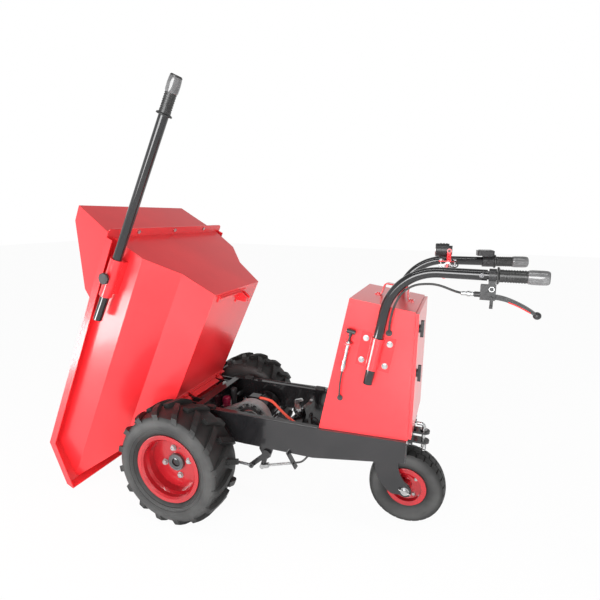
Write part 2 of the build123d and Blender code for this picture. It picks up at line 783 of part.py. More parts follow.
def box_shell():
    rise = (chassis_top_rear - chassis_top) / (chassis_rear - box_front)
    seat = chassis_top + rise * (box_rear - box_front)
    gap = seat_fit / 2
    long = [(box_front, chassis_top + gap), (box_rear, seat + gap), (box_rear, box_top_rear)]
    long += [(box_top_x, box_top_front)]
    lean = (box_top_x - box_front) / (box_top_front - chassis_top)
    fall = (box_top_front - box_top_rear) / (box_rear - box_top_x)
    in_front = box_front + sheet * math.hypot(1, lean)
    drop = sheet * math.hypot(1, fall)
    high = box_top_front - drop
    in_x = in_front + lean * (high - chassis_top)
    room = [(in_front - lean * 20, chassis_top - 20), (box_rear - sheet, chassis_top - 20)]
    room += [(box_rear - sheet, box_top_rear - drop + fall * sheet)]
    room += [(in_x, high - fall * (in_x - box_top_x))]
    shell = slab(long, -box_half, box_half) - slab(room, -box_half + sheet, box_half - sheet)
    door = block(box_rear - 10, box_rear + 10, -box_half + door_border, box_half - door_border,
                 chassis_top_rear + 22, box_top_rear - 22)
    shell -= door
    bolts = clamp_spots()
    for x, z in bolts:
        shell -= across(x, z, 4 + bolt_fit, -box_half - 5, box_half + 5)
    for x, z in (latch_hole, brake_hole):
        shell -= across(x, z, 6 + seat_fit, -box_half - 5, -box_half + 10)
    for z in hinge_levels:
        leaf = block(box_rear - 22, door_hinge_x, box_half - 0.5, box_half + 2.5, z, z + 25)
        leaf += upright(door_hinge_x, door_hinge_y, 5, z, z + 25)
        shell += leaf - upright(door_hinge_x, door_hinge_y, 2.5 + seat_fit / 3, z - 1, z + 26)
    tab = block(-9, 11, -9, -box_half - guide_y + 0.5, -3, 0)
    tab -= Pos(0, 0, -20) * Cylinder(5 + bolt_fit, 100)
    return shell + guide(tab)


def guide(shape):
    """Puts a part built along Z from the top of the latch guide tube on the box side."""
    return Pos(guide_top[0], guide_y, guide_top[1]) * Rot(0, guide_lean, 0) * shape


def box_door():
    x0 = box_rear + door_gap
    half = box_half - 1
    low = chassis_top_rear + 6
    high = box_top_rear - 4
    pan = block(x0, x0 + door_depth, -half, half, low, high)
    pan -= block(x0 - 1, x0 + door_depth - sheet, -half + sheet, half - sheet, low + sheet, high - sheet)
    for z in latch_levels:
        pan -= endways(-122, z, 6 + running, x0, x0 + door_depth + 5)
    for z in hinge_levels:
        z0 = z + 25.4
        knuckle = block(door_hinge_x - 2, x0 + door_depth, half - 2, door_hinge_y - 2, z0, z0 + 25)
        knuckle += upright(door_hinge_x, door_hinge_y, 5, z0, z0 + 25)
        pan += knuckle - upright(door_hinge_x, door_hinge_y, 2.5 + running, z0 - 1, z0 + 26)
    return pan


def door_latch(z):
    face = box_rear + door_gap + door_depth
    turn = endways(-122, z, 6, box_rear - 9, face + 6)
    turn += endways(-122, z, 12, face + 0.4, face + 4)
    paddle = block(face + 4, face + 13, -128, -116, z - 25, z + 25)
    paddle = fillet(paddle.edges().filter_by(Axis.X), 5)
    return turn + paddle + block(box_rear - 9, box_rear - 5, -130, -114, z - 8, z + 20)


def hinge_pins():
    return [upright(door_hinge_x, door_hinge_y, 2.5, z - 3, z + 53) for z in hinge_levels]


def grab_handle():
    fall = math.degrees(math.atan2(box_top_front - box_top_rear, box_rear - box_top_x))
    half = [(36, 0, 40), (42, 0, 2), (62, 0, 2)]
    path = FilletPolyline(*[(-x, y, z) for x, y, z in reversed(half)], *half, radius=9)
    strap = sweep(Plane((-62, 0, 2), x_dir=(0, 1, 0), z_dir=(1, 0, 0)) * Rectangle(26, 4), path=path)
    for x in (-53, 53):
        strap += Pos(x, 0, 4) * Cylinder(5, 5)
    spot = 640.0
    level = box_top_front - (spot - box_top_x) * math.tan(math.radians(fall))
    return Pos(spot, 0, level) * Rot(0, fall, 0) * strap


def grommets():
    pieces = []
    ways = [(latch_hole, latch_route(), 2.5), (brake_hole, brake_route(), casing_radius)]
    for spot, route, radius in ways:
        ring = across(*spot, 9, -box_half - 4, -box_half) + across(*spot, 6, -box_half - 1, -box_half + 4)
        pieces.append(ring - cord("grommet bore", route, radius + seat_fit))
    return pieces


def leg_point(along):
    """Point on the lower handlebar leg, measured along it from the foot."""
    run = Vector(leg_corner[0] - leg_foot[0], 0, leg_corner[1] - leg_foot[1]).normalized()
    return Vector(leg_foot[0], 0, leg_foot[1]) + run * along


clamp_middle = leg_point(95.0)
leg_lean = math.degrees(math.atan2(leg_corner[0] - leg_foot[0], leg_corner[1] - leg_foot[1]))


def clamp_spots():
    turn = math.radians(leg_lean)
    spots = []
    for a in (-35, 35):
        for b in (-34, 34):
            x = clamp_middle.X + a * math.cos(turn) + b * math.sin(turn)
            spots.append((x, clamp_middle.Z - a * math.sin(turn) + b * math.cos(turn)))
    return spots


def handlebar_tube():
    foot = (leg_foot[0], -leg_y, leg_foot[1])
    corner = (leg_corner[0], -leg_y, leg_corner[1])
    end = (tube_end[0], -tube_end[1], tube_end[2])
    path = FilletPolyline(foot, corner, end, radius=leg_bend)
    start = Plane(foot, z_dir=Vector(*corner) - Vector(*foot))
    tube = sweep(start * Circle(bar_radius), path=path)
    tube -= sweep(start * Circle(bar_radius - 2.5), path=path)
    tip = left_bar.from_local_coords((0, 0, core_length - 7))
    root = left_bar.from_local_coords((0, 0, -4))
    plug = left_bar * (Pos(0, 0, -2) * Cylinder(bar_radius - 1, 4))
    return tube + plug + rod((root.X, root.Y, root.Z), (tip.X, tip.Y, tip.Z), core_radius)


def bar_plane(side):
    """Frame at the end of a handlebar tube: Z along the bar, X up."""
    run = Vector(*bar_end) - Vector(*tube_end)
    run = Vector(run.X, side * run.Y, run.Z).normalized()
    up = (Vector(0, 0, 1) - run * run.Z).normalized()
    return Plane((tube_end[0], side * tube_end[1], tube_end[2]), x_dir=up, z_dir=run)


left_bar = bar_plane(-1)
right_bar = bar_plane(1)
core_length = math.dist(tube_end, bar_end)
grip_start = core_length - grip_length


def handlebar_clamp():
    size = 52.0
    plate_half = block(-50, 50, 0, 3, -size, size)
    sleeve = Pos(0, leg_y - box_half, 0) * Cylinder(bar_radius + 4, 2 * size - 8)
    web = block(-bar_radius - 3, bar_radius + 3, 2, leg_y - box_half, -size + 6, size - 6)
    body = plate_half + sleeve + web
    body -= Pos(0, leg_y - box_half, 0) * Cylinder(bar_radius + seat_fit, 3 * size)
    for a in (-35, 35):
        for b in (-34, 34):
            body -= Pos(a, 2, b) * Rot(90, 0, 0) * Cylinder(4 + bolt_fit, 20)
    body -= block(-80, 80, -20, 0, -size * 2, size * 2)
    return Pos(clamp_middle.X, box_half, clamp_middle.Z) * Rot(0, leg_lean, 0) * body


def clamp_bolts():
    pieces = []
    for x, z in clamp_spots():
        face = box_half + 3
        bolt = across(x, z, 4, box_half - 14, face + 1) + across(x, z, 9, face, face + 1.6)
        bolt += hex_across(x, z, 13, face + 1.6, face + 7.5)
        bolt += hex_across(x, z, 13, box_half - sheet - 7, box_half - sheet)
        pieces += [bolt, mirrored(bolt)]
    return pieces


def lamp_bar_tube():
    tube = across(lamp_bar_x, lamp_bar_z, lamp_bar, -leg_y - 12, leg_y + 12)
    start = Vector(leg_corner[0], leg_y, leg_corner[1])
    end = Vector(*tube_end)
    for side in (-1, 1):
        gap = rod((start.X, side * start.Y, start.Z), (end.X, side * end.Y, end.Z), bar_radius + seat_fit)
        tube -= gap
    middle = block(0, 2000, -leg_y, leg_y, 0, 2000)
    return tube & middle


def left_grip():
    return left_bar * (Pos(0, 0, grip_start) * grip_shape(grip_length, core_radius + seat_fit, 9))


def throttle_grip():
    length = core_length - throttle_start
    return right_bar * (Pos(0, 0, throttle_start) * grip_shape(length, core_radius + running, 8))


def brake_perch():
    ring = Pos(0, 0, 12) * Cylinder(17, 17) + block(-30, -12, -11, 11, 4, 20)
    body = block(-62, -24, -11, 11, -14, 22)
    body += Pos(-50, 0, -20) * Cylinder(7, 16)
    body += Pos(-50, 0, -30) * Cylinder(5, 12)
    slot = block(-80, -34, -7.4, 7.4, -4, 40)
    body -= slot
    body -= Pos(-50, 0, -14) * Cylinder(3 + seat_fit, 60)
    body -= Pos(lever_pivot[0], 0, lever_pivot[1]) * Rot(90, 0, 0) * Cylinder(4 + bolt_fit, 40)
    perch = ring + body - Pos(0, 0, 12) * Cylinder(core_radius + seat_fit, 40)
    pin = Pos(lever_pivot[0], 0, lever_pivot[1]) * Rot(90, 0, 0)
    perch += pin * Cylinder(4, 22)
    perch += Pos(lever_pivot[0], 12, lever_pivot[1]) * Rot(90, 0, 0) * Cylinder(6.5, 4)
    perch += Pos(park_pivot[0], 13, park_pivot[1]) * Rot(90, 0, 0) * Cylinder(3, 8)
    return left_bar * perch


def lever_band(points, wide, narrow, y0, y1):
    """Plate along the lever's course, its half width easing from one end to the other."""
    px, pz = lever_pivot
    upper = []
    lower = []
    for k, (x, z) in enumerate(points):
        half = wide + (narrow - wide) * k / (len(points) - 1)
        upper.append((px + x + half, y0, pz + z))
        lower.append((px + x - half, y0, pz + z))
    edges = Spline(*upper) + Line(upper[-1], lower[-1])
    edges += Spline(*reversed(lower)) + Line(lower[0], upper[0])
    return extrude(make_face(edges), amount=y1 - y0, dir=(0, 1, 0))


def brake_lever():
    px, pz = lever_pivot
    root = [(px + 8, pz - 4), (px + 3, pz + 16), (px - 14, pz + 16), (px - 11, pz - 6)]
    body = slab(root, -lever_half, lever_half)
    body += lever_band(lever_course, 6.0, 4.5, -lever_half, lever_half)
    body += Pos(px, 0, pz) * Rot(90, 0, 0) * Cylinder(9, 2 * lever_half)
    x, z = lever_course[-1]
    body += Pos(px + x, 0, pz + z) * Sphere(9.5)
    return left_bar * (body - Pos(px, 0, pz) * Rot(90, 0, 0) * Cylinder(4 + running, 30))


def lever_strip():
    return left_bar * lever_band(lever_course[2:5], 3.5, 3.0, lever_half, lever_half + 2)


def park_tab():
    x, z = park_pivot
    tab = block(x - 20, x + 2, 11.4, 15, z - 4, z + 4)
    tab += Pos(x, 13.2, z) * Rot(90, 0, 0) * Cylinder(5, 3.6)
    tab += block(x - 24, x - 17, 11.4, 22, z - 4, z + 4)
    return left_bar * (tab - Pos(x, 13, z) * Rot(90, 0, 0) * Cylinder(3 + running, 20))


def brake_route():
    points = []
    for step in (-26, -64):
        spot = left_bar.from_local_coords((-50, 0, step))
        points.append((spot.X, spot.Y, spot.Z))
    points += [(768, -184, 830), (714, -180, 823), (680, -176, 797), (660, -170, 752), (652, -166, 706)]
    points += [(brake_hole[0] + 1, -158, brake_hole[1] + 4), (brake_hole[0], -140, brake_hole[1])]
    points += [(640, -125, 650), (612, -124, 606), (580, -123, 562), (552, -124, 514), (520, -123, 470)]
    points += [(496, -124, 424), (482, -123, 374), (472, -128, 326), (448, -140, 286), (424, -149, 252)]
    return points + [cable_stop(30), cable_stop(3)]


def brake_cable():
    casing = cord("brake_cable", brake_route(), casing_radius)
    return casing - rod(cable_stop(0), cable_stop(20), casing_bore)


def latch_route():
    start = guide(Pos(0, 0, -84) * Sphere(1)).center()
    below = guide(Pos(0, 0, -112) * Sphere(1)).center()
    points = [(start.X, start.Y, start.Z), (below.X, below.Y, below.Z), (511, -161, 484)]
    points += [(latch_hole[0] - 0.5, -157, latch_hole[1] + 3), (latch_hole[0], -141, latch_hole[1])]
    points += [(506, -128, 440), (492, -122, 408), (476, -118, 372), (462, -108, 338), (444, -86, 314)]
    points += [(421, -50, 298), (402, -12, 285), (388, 24, 276), (latch_stop + 22, latch_y, latch_z - 16)]
    return points + [(latch_stop + 1, latch_y, latch_z - 16)]


def latch_cable():
    return cord("latch_cable", latch_route(), 2.5)


def latch_guide():
    tube = Pos(0, 0, -42) * Cylinder(5, 96) + Pos(0, 0, -70) * Cylinder(6.5, 28)
    nut = extrude(RegularPolygon(8.5, 6, major_radius=False), 4)
    tube += nut
    tube += Pos(0, 0, -7) * nut
    return guide(tube - Pos(0, 0, -40) * Cylinder(3 + running, 120))


def latch_knob():
    stem = Pos(0, 0, 0) * Cylinder(3, 64)
    head = Pos(0, 0, 36) * Rot(0, 90, 0) * Cylinder(6.5, 26)
    head += Pos(0, 0, 28) * Cylinder(5.5, 12)
    return guide(stem + head)


def skip_latch():
    hook = [(-8, -6), (-9, 30), (-2, 48), (24, 48), (26, 39), (12, 39), (9, 20), (11, -4)]
    hook += [(4, -12), (-4, -12)]
    body = slab(hook, *hook_planes) + across(0, 0, 10, hook_planes[0], tail_planes[1])
    tail = math.radians(28)
    run = (math.cos(tail), math.sin(tail))
    reach = 52.0
    arm = [(-run[1] * 5, run[0] * 5), (reach * run[0] - run[1] * 5, reach * run[1] + run[0] * 5)]
    arm += [(reach * run[0] + run[1] * 5, reach * run[1] - run[0] * 5), (run[1] * 5, -run[0] * 5)]
    body += slab(arm, *tail_planes)
    body += across(reach * run[0], reach * run[1], 7, tail_planes[0], tail_planes[1] + 9)
    lower = [(-5, 0), (5, 0), (4, -17), (-4, -17)]
    body += slab(lower, -6, 6)
    body -= across(0, 0, 5 + running, -20, 20)
    return Pos(latch_x, latch_y, latch_z) * Rot(0, -latch_swing, 0) * body


def latch_pin():
    pin = across(latch_x, latch_z, 5, latch_y - 22, latch_y + 22)
    pin += across(latch_x, latch_z, 8, latch_y - 25, latch_y - 20)
    return pin + across(latch_x, latch_z, 8, latch_y + 20, latch_y + 25)


def control_pod():
    length = throttle_start - 1.3
    body = Pos(0, 0, 0.5 + length / 2) * Cylinder(18, length)
    body += block(14, 22, -10, 10, 2, 28)
    shell = block(19, 35, -23, 23, -18, 34)
    body += fillet(shell.edges().filter_by(Axis.X), 6)
    body -= Pos(0, 0, 16) * Cylinder(core_radius + seat_fit, 60)
    body -= Pos(-2, 14, 18) * Rot(90, 0, 0) * Cylinder(6 + clear, 12)
    return right_bar * body


def pod_button():
    button = Pos(-2, 17.2, 18) * Rot(90, 0, 0) * Cylinder(6, 6.6)
    return right_bar * button


def lamp_clamp():
    low = lamp_bar_z
    nut = low + lamp_ring + 3.5
    ring = across(lamp_bar_x, low, lamp_ring, lamp_y - 13, lamp_y + 13)
    ears = block(lamp_bar_x - 27, lamp_bar_x + 27, lamp_y - 13, lamp_y + 13, low - 3, low + 3)
    body = ring + ears - across(lamp_bar_x, low, lamp_bar + seat_fit, lamp_y - 20, lamp_y + 20)
    for x in (lamp_bar_x - 21, lamp_bar_x + 21):
        body += upright(x, lamp_y, 3, low - 8, nut + 4)
        body += hex_up(x, lamp_y, 10, low - 8, low - 3)
        body += hex_up(x, lamp_y, 10, nut, nut + 4)
    return body


def lamp_bracket():
    x0, z0 = lamp_pivot
    low = lamp_bar_z + lamp_ring
    foot = block(lamp_bar_x - 28, lamp_bar_x + 28, lamp_y - 13, lamp_y + 13, low, low + 3)
    for x in (lamp_bar_x - 21, lamp_bar_x + 21):
        foot -= upright(x, lamp_y, 3 + bolt_fit, low - 5, low + 9)
    body = foot + block(x0 - 6, x0 + 8, lamp_y - lamp_arm, lamp_y + lamp_arm, low + 2.5, low + 5.5)
    for y0 in (lamp_y - lamp_arm, lamp_y + lamp_arm - 3):
        arm = block(x0 - 6, x0 + 6, y0, y0 + 3, low + 3, z0) + across(x0, z0, 7, y0, y0 + 3)
        body += arm - across(x0, z0, 4 + running, y0 - 1, y0 + 4)
    return body


def lamp_body():
    x, z = lamp_pivot
    half = lamp_arm - 3 - clear
    drum = endways(lamp_y, z, 21, x - 42, x - 2) + endways(lamp_y, z, 15, x - 4, x + 8)
    for k in range(3):
        drum += endways(lamp_y, z, 22.5, x - 30 + 9 * k, x - 26 + 9 * k)
    drum -= endways(lamp_y, z, 18.2, x - 43, x - 38)
    drum += across(x, z, 8, lamp_y - half, lamp_y + half)
    return drum + across(x, z, 4, lamp_y - lamp_arm - 4, lamp_y + lamp_arm + 4)


def lamp_lens():
    x, z = lamp_pivot
    return endways(lamp_y, z, 18, x - 41.5, x - 38)


def lamp_lead():
    x = lamp_pivot[0] + 8
    high = lamp_bar_z + lamp_ring + 4
    points = [(x, lamp_y - 20, high), (x + 14, lamp_y - 20, high)]
    points += [(x + 22, lamp_y - 34, lamp_bar_z + 4), (x + 16, lamp_y - 46, lamp_bar_z - 2)]
    points += [(lamp_bar_x + lamp_bar - 1, lamp_y - 52, lamp_bar_z)]
    return cord("lamp_lead", points, 2.0) - across(lamp_bar_x, lamp_bar_z, lamp_bar, -50, 100)


def caster_tyre():
    body, space = tyre(caster_flange, caster_seat, caster_rim_half, caster_half, caster_radius, 7.0, 6.0)
    high = caster_radius + 4
    row = 13.5
    cuts = []
    for y in (-row, row):
        groove = [(caster_radius - 4, y - 2), (high, y - 2), (high, y + 2), (caster_radius - 4, y + 2)]
        cuts.append(turned(groove))
    pitch = 360 / caster_blocks
    shoulder = block(-2, 2, row + 1.5, caster_half, caster_radius - 8, high)
    middle = block(-1.7, 1.7, -row + 1.5, row - 1.5, caster_radius - 4, high)
    for k in range(caster_blocks):
        cuts.append(Rot(0, k * pitch, 0) * shoulder)
        cuts.append(Rot(0, k * pitch, 0) * mirrored(shoulder))
        cuts.append(Rot(0, (k + 0.5) * pitch, 0) * middle)
    return Pos(caster_x, 0, caster_radius) * (body - space).cut(*cuts)


def caster_rim():
    half = caster_rim_half
    wall = rim_wall
    bore = caster_axle + running
    points = [(caster_flange, -half), (caster_flange, -half + wall), (caster_seat, -half + wall)]
    points += [(caster_seat, -18), (caster_seat - 6, -12)]
    skin = points + [(r, -y) for r, y in reversed(points)]
    inside = [(caster_seat - wall, half), (caster_seat - wall, 16), (30, 10), (19, 12)]
    inside += [(19, half - 4), (bore, half - 4)]
    profile = skin + inside + [(r, -y) for r, y in reversed(inside)]
    shape = turned(profile)
    tips = shape.edges().filter_by(GeomType.CIRCLE).filter_by(lambda e: e.radius > caster_flange - 1)
    return Pos(caster_x, 0, caster_radius) * fillet(tips, wall * 0.42)


def caster_head():
    cup = [(stem_radius + running, 263), (37, 263), (40, 266), (40, 274), (34, head_z - 6)]
    cup += [(stem_radius + running, head_z - 6)]
    body = Pos(swivel_x, 0, 0) * lathe(cup)
    flat = block(swivel_x - 52, swivel_x + 52, -46, 46, head_z - 6.5, head_z)
    body += flat - upright(swivel_x, 0, stem_radius + running, head_z - 20, head_z + 5)
    for x in (-42, 42):
        for y in (-36, 36):
            body += hex_up(swivel_x + x, y, 13, head_z - 12, head_z - 6)
    return body


def caster_fork():
    reach = fork_gap + fork_plate
    x0 = swivel_x - 36
    x1 = swivel_x + 40
    z = caster_radius
    crown = block(x0, x1, -reach, reach, fork_top - 8, fork_top)
    front = [(x0, -reach, fork_top - 44), (x0 + 6, -reach, fork_top - 90)]
    front += [(x0 + 28, -reach, fork_top - 129), (x0 + 62, -reach, fork_top - 155)]
    front += [(caster_x - 7, -reach, z - 18)]
    back = [(caster_x + 14, -reach, z + 14), (x1 + 8, -reach, fork_top - 82), (x1, -reach, fork_top - 44)]
    high = [(x1, -reach, fork_top), (x0, -reach, fork_top)]
    edges = Spline(*front, tangents=((0, 0, -1), (1, 0, -0.2))) + Line(front[-1], back[0])
    edges += Spline(*back, tangents=((-1, 0, 1), (0, 0, 1))) + Polyline(back[-1], *high, front[0])
    arm = extrude(make_face(edges), amount=fork_plate, dir=(0, 1, 0))
    arm += across(caster_x, z, 21, -reach, -fork_gap)
    arm -= across(caster_x, z, caster_axle + bolt_fit, -fork_gap - 20, 0)
    return crown + arm + mirrored(arm) + upright(swivel_x, 0, stem_radius, fork_top - 2, head_z + 20)


def caster_pins():
    reach = fork_gap + fork_plate
    pin = across(caster_x, caster_radius, caster_axle, -reach - 12, reach + 3)
    pin += across(caster_x, caster_radius, 14, -reach - 2.5, -reach)
    pin += across(caster_x, caster_radius, 14, reach, reach + 5)
    split = -reach - 7
    pin += rod((caster_x - 19, split, caster_radius + 6), (caster_x + 19, split, caster_radius - 5), 1.8)
    end = caster_rim_half - 3.5
    collar = across(caster_x, caster_radius, 13, end, fork_gap)
    pin += collar
    pin += mirrored(collar)
    nut = hex_up(swivel_x, 0, 32, head_z + 6.4, head_z + 18)
    return [pin, nut - upright(swivel_x, 0, stem_radius, head_z, head_z + 30)]


def cam_place(shape):
    return Pos(cam_offset[0], -wheel_plane, axle_z + cam_offset[1]) * shape


def brake_cam():
    face = drum_end + 5.4
    body = across(0, 0, 7, drum_end - 22, face + 6) + across(0, 0, 11, face, face + 6)
    body += slab([(-8, 0), (8, 0), (6, -cam_length), (-6, -cam_length)], face, face + 6)
    body += across(0, -cam_length, 8, face, face + 6) + across(0, -cam_length, 4, face, face + 19)
    return cam_place(body)


def brake_crank():
    body = across(shaft_x, shaft_z, cross_shaft, -crank_y - crank_plate, crank_y + crank_plate)
    for side in (-1, 1):
        y0 = side * crank_y
        y1 = side * (crank_y + crank_plate)
        ends = [rod_arm]
        if side < 0:
            ends.append(pull_arm)
        body += across(shaft_x, shaft_z, 15, min(y0, y1), max(y0, y1))
        for end in ends:
            run = Vector(end[0], 0, end[1]).normalized()
            flank = Vector(-run.Z, 0, run.X) * 8
            tip = Vector(shaft_x + end[0], 0, shaft_z + end[1])
            root = Vector(shaft_x, 0, shaft_z)
            strap = [(p.X, p.Z) for p in (root + flank, tip + flank, tip - flank, root - flank)]
            body += slab(strap, min(y0, y1), max(y0, y1))
            body += across(tip.X, tip.Z, 8, min(y0, y1), max(y0, y1))
        tip = (shaft_x + rod_arm[0], shaft_z + rod_arm[1])
        pin_end = side * (crank_y + crank_plate + 9)
        body += across(*tip, 4, min(y0, pin_end), max(y0, pin_end))
    pin = (shaft_x + pull_arm[0], shaft_z + pull_arm[1])
    return body - across(*pin, 4 + running, -crank_y - 40, -crank_y + 40)


def brake_rod():
    near = (shaft_x + rod_arm[0], -crank_y - crank_plate - 4.6, shaft_z + rod_arm[1])
    cam_y = -wheel_plane + drum_end + 5.4 + 6 + 6.4
    far = (cam_offset[0], cam_y, axle_z + cam_offset[1] - cam_length)
    body = rod(near, far, 4.5)
    body += across(near[0], near[2], 9, near[1] - 4, near[1] + 4)
    body += across(far[0], far[2], 9.5, far[1] - 5, far[1] + 5)
    body -= across(near[0], near[2], 4 + running, near[1] - 20, near[1] + 20)
    return body - across(far[0], far[2], 5.4, far[1] - 20, far[1] + 20)


def pull_wire():
    x = shaft_x + pull_arm[0]
    z = shaft_z + pull_arm[1]
    mid = -crank_y - 3
    body = across(x, z, 4, -crank_y - crank_plate - 8, -crank_y + 8)
    outside = -crank_y - crank_plate
    for y0, y1 in ((outside - 7, outside - 0.6), (-crank_y + 0.6, -crank_y + 3.2)):
        body += across(x, z, 8, y0, y1)
    base = cable_stop(-pull_length + 23)
    tip = cable_stop(4)
    run = (Vector(*tip) - Vector(*base)).normalized()
    for offset_y in (-crank_plate / 2 - 3.8, crank_plate / 2 + 1.9):
        half = 3.2 if offset_y < 0 else 1.3
        lift = Vector(-run.Z, 0, run.X) * 6
        near = Vector(x, 0, z)
        far = Vector(base[0], 0, base[2])
        strap = [(p.X, p.Z) for p in (near + lift, far + lift, far - lift, near - lift)]
        body += slab(strap, mid + offset_y - half, mid + offset_y + half)
    start = Vector(*base)
    yoke = Plane(start, x_dir=(0, 1, 0), z_dir=run) * Pos(-1.9, 0, -3) * Box(16.4, 12, 6)
    body += yoke
    return body + rod((start.X, start.Y, start.Z), tip, wire_radius)


pull_length = math.dist(cable_stop(0), (shaft_x + pull_arm[0], -crank_y - 3, shaft_z + pull_arm[1]))


def brake_spring():
    """Return spring round the pull wire, as arcs that follow a helix."""
    base = Vector(*cable_stop(-pull_length + 24))
    end = Vector(*cable_stop(-5))
    run = end - base
    length = run.length
    frame = Plane(base, x_dir=(0, 1, 0), z_dir=run)
    steps = spring_turns * 2
    pitch = length / spring_turns

    def spot(turn):
        rise = pitch * turn / (2 * math.pi)
        return Vector(spring_radius * math.cos(turn), spring_radius * math.sin(turn), rise)

    def heading(turn):
        rise = pitch / (2 * math.pi)
        slope = Vector(-spring_radius * math.sin(turn), spring_radius * math.cos(turn), rise)
        return slope.normalized()

    edges = []
    for k in range(steps):
        a = math.pi * k
        b = math.pi * (k + 1)
        p0, p1, t0, t1 = spot(a), spot(b), heading(a), heading(b)
        v = p1 - p0
        t = t0 + t1
        lean = 2 * (1 - t0.dot(t1))
        d = (-v.dot(t) + math.sqrt(v.dot(t) ** 2 + lean * v.dot(v))) / lean
        middle = (p0 + p1 + (t0 - t1) * d) * 0.5
        course = ((p1 - t1 * d) - (p0 + t0 * d)).normalized()
        edges.append(Edge.make_tangent_arc(p0, t0, middle))
        edges.append(Edge.make_tangent_arc(middle, course, p1))
    path = Wire(edges)
    coil = sweep(Plane(spot(0), z_dir=heading(0)) * Circle(spring_wire / 2), path=path)
    print("brake_spring turns", spring_turns, "least gap to itself", round(pitch - spring_wire, 2))
    return frame * coil


def hitch_bracket():
    x0 = chassis_rear
    body = block(x0, x0 + 8, -30, 30, 280, 348)
    for z in (tow_low, tow_high):
        lug = block(x0, tow_x, -19, 19, z, z + tow_plate) + upright(tow_x, 0, 19, z, z + tow_plate)
        body += lug - upright(tow_x, 0, tow_pin + running, z - 1, z + tow_plate + 1)
    for y in (-22, 22):
        body += hex_across(0, 0, 13, 0, 5).rotate(Axis.Z, -90).translate((x0 + 8, y, 338))
    return body


def hitch_pin():
    top = tow_high + tow_plate + 1
    shank = upright(tow_x, 0, tow_pin, tow_low - 19, top + 14)
    shank += upright(tow_x, 0, 11, top, top + 4)
    path = FilletPolyline((tow_x, 0, top + 4), (tow_x, 0, top + 20), (tow_x - 24, 0, top + 20), radius=9)
    shank += sweep(Plane((tow_x, 0, top + 4)) * Circle(tow_pin - 0.5), path=path)
    return shank - across(tow_x, tow_low - 11, 1.7, -20, 20)


def hitch_clip():
    z = tow_low - 11
    path = FilletPolyline((tow_x, 14, z), (tow_x, -16, z), (tow_x, -24, z - 7), (tow_x + 9, -24, z - 7),
                          (tow_x + 9, -6, z - 1), (tow_x + 8.5, 12, z + 2), radius=2.4)
    return sweep(Plane((tow_x, 14, z), z_dir=(0, -1, 0)) * Circle(1.5), path=path)


def pair(shape):
    return [shape, mirrored(shape)]


def place_all(pieces):
    return [wheel_place(piece) for piece in pieces]


tyre_left = wheel_place(main_tyre())
rim_left = wheel_place(main_rim())
hub_left = wheel_place(wheel_hub())
fixings_left = place_all(wheel_fixings())
shoes_left = place_all(brake_shoes())

fasteners = u_bolts() + hinge_bolts() + clamp_bolts() + hinge_pins()
fasteners += [latch_pin(), lamp_clamp()]

nodes = {
    "chassis_frame": chassis_frame(),
    "frame_fasteners": fasteners,
    "rubber_pads": rest_pads() + grommets(),
    "axle_housing": axle_housing(),
    "gear_case": gear_case(),
    "drive_motor": drive_motor(),
    "motor_cable": motor_cable(),
    "motor_controller": controller(),
    "battery_pack": batteries(),
    "brake_shoes": shoes_left + [mirrored(piece) for piece in shoes_left],
    "left_tyre": tyre_left,
    "left_rim": rim_left,
    "left_hub": hub_left,
    "left_wheel_bolts": fixings_left,
    "right_tyre": mirrored(tyre_left),
    "right_rim": mirrored(rim_left),
    "right_hub": mirrored(hub_left),
    "right_wheel_bolts": [mirrored(piece) for piece in fixings_left],
    "skip_body": skip_place(skip_body()),
    "skip_extension": skip_place(skip_extension()),
    "extension_screws": [skip_place(piece) for piece in extension_screws()],
    "skip_brackets": [skip_place(hinge_bar()), skip_place(striker())],
    "handle_sleeve": skip_place(handle_sleeve()),
    "dump_handle": skip_place(dump_handle()),
    "dump_grip": skip_place(dump_grip()),
    "clamp_knob": skip_place(clamp_knob()),
    "box_shell": box_shell(),
    "box_door": box_door(),
    "door_latch_low": door_latch(latch_levels[0]),
    "door_latch_high": door_latch(latch_levels[1]),
    "grab_handle": grab_handle(),
    "handlebars": pair(handlebar_tube()),
    "handlebar_clamps": pair(handlebar_clamp()),
    "lamp_bar": lamp_bar_tube(),
    "left_grip": left_grip(),
    "throttle_grip": throttle_grip(),
    "brake_perch": brake_perch(),
    "brake_lever": [brake_lever(), lever_strip()],
    "park_tab": park_tab(),
    "control_cables": [brake_cable(), latch_cable(), lamp_lead()],
    "latch_guide": latch_guide(),
    "latch_knob": latch_knob(),
    "skip_latch": skip_latch(),
    "control_pod": control_pod(),
    "pod_button": pod_button(),
    "lamp_bracket": lamp_bracket(),
    "lamp_body": lamp_body(),
    "lamp_lens": lamp_lens(),
    "caster_tyre": caster_tyre(),
    "caster_rim": caster_rim(),
    "caster_fork": caster_fork(),
    "caster_head": caster_head(),
    "caster_pins": caster_pins(),
    "brake_cams": pair(brake_cam()),
    "brake_crank": brake_crank(),
    "brake_rods": pair(brake_rod()),
    "pull_wire": pull_wire(),
    "brake_spring": brake_spring(),
    "hitch_bracket": hitch_bracket(),
    "hitch_pin": [hitch_pin(), hitch_clip()],
}

os.makedirs("parts", exist_ok=True)
for name, shape in nodes.items():
    pieces = shape if isinstance(shape, list) else [shape]
    solids = [solid for piece in pieces for solid in piece.solids()]
    moved = Compound(children=[Pos(-origin_x, 0, 0) * solid for solid in solids])
    export_step(moved, "parts/" + name + ".step")
    box = moved.bounding_box()
    print(name, len(solids), [round(v, 1) for v in (*box.min, *box.max)])
print("origin_x", origin_x, "nodes", len(nodes))
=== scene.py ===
import math

import bpy
from mathutils import Matrix, Vector


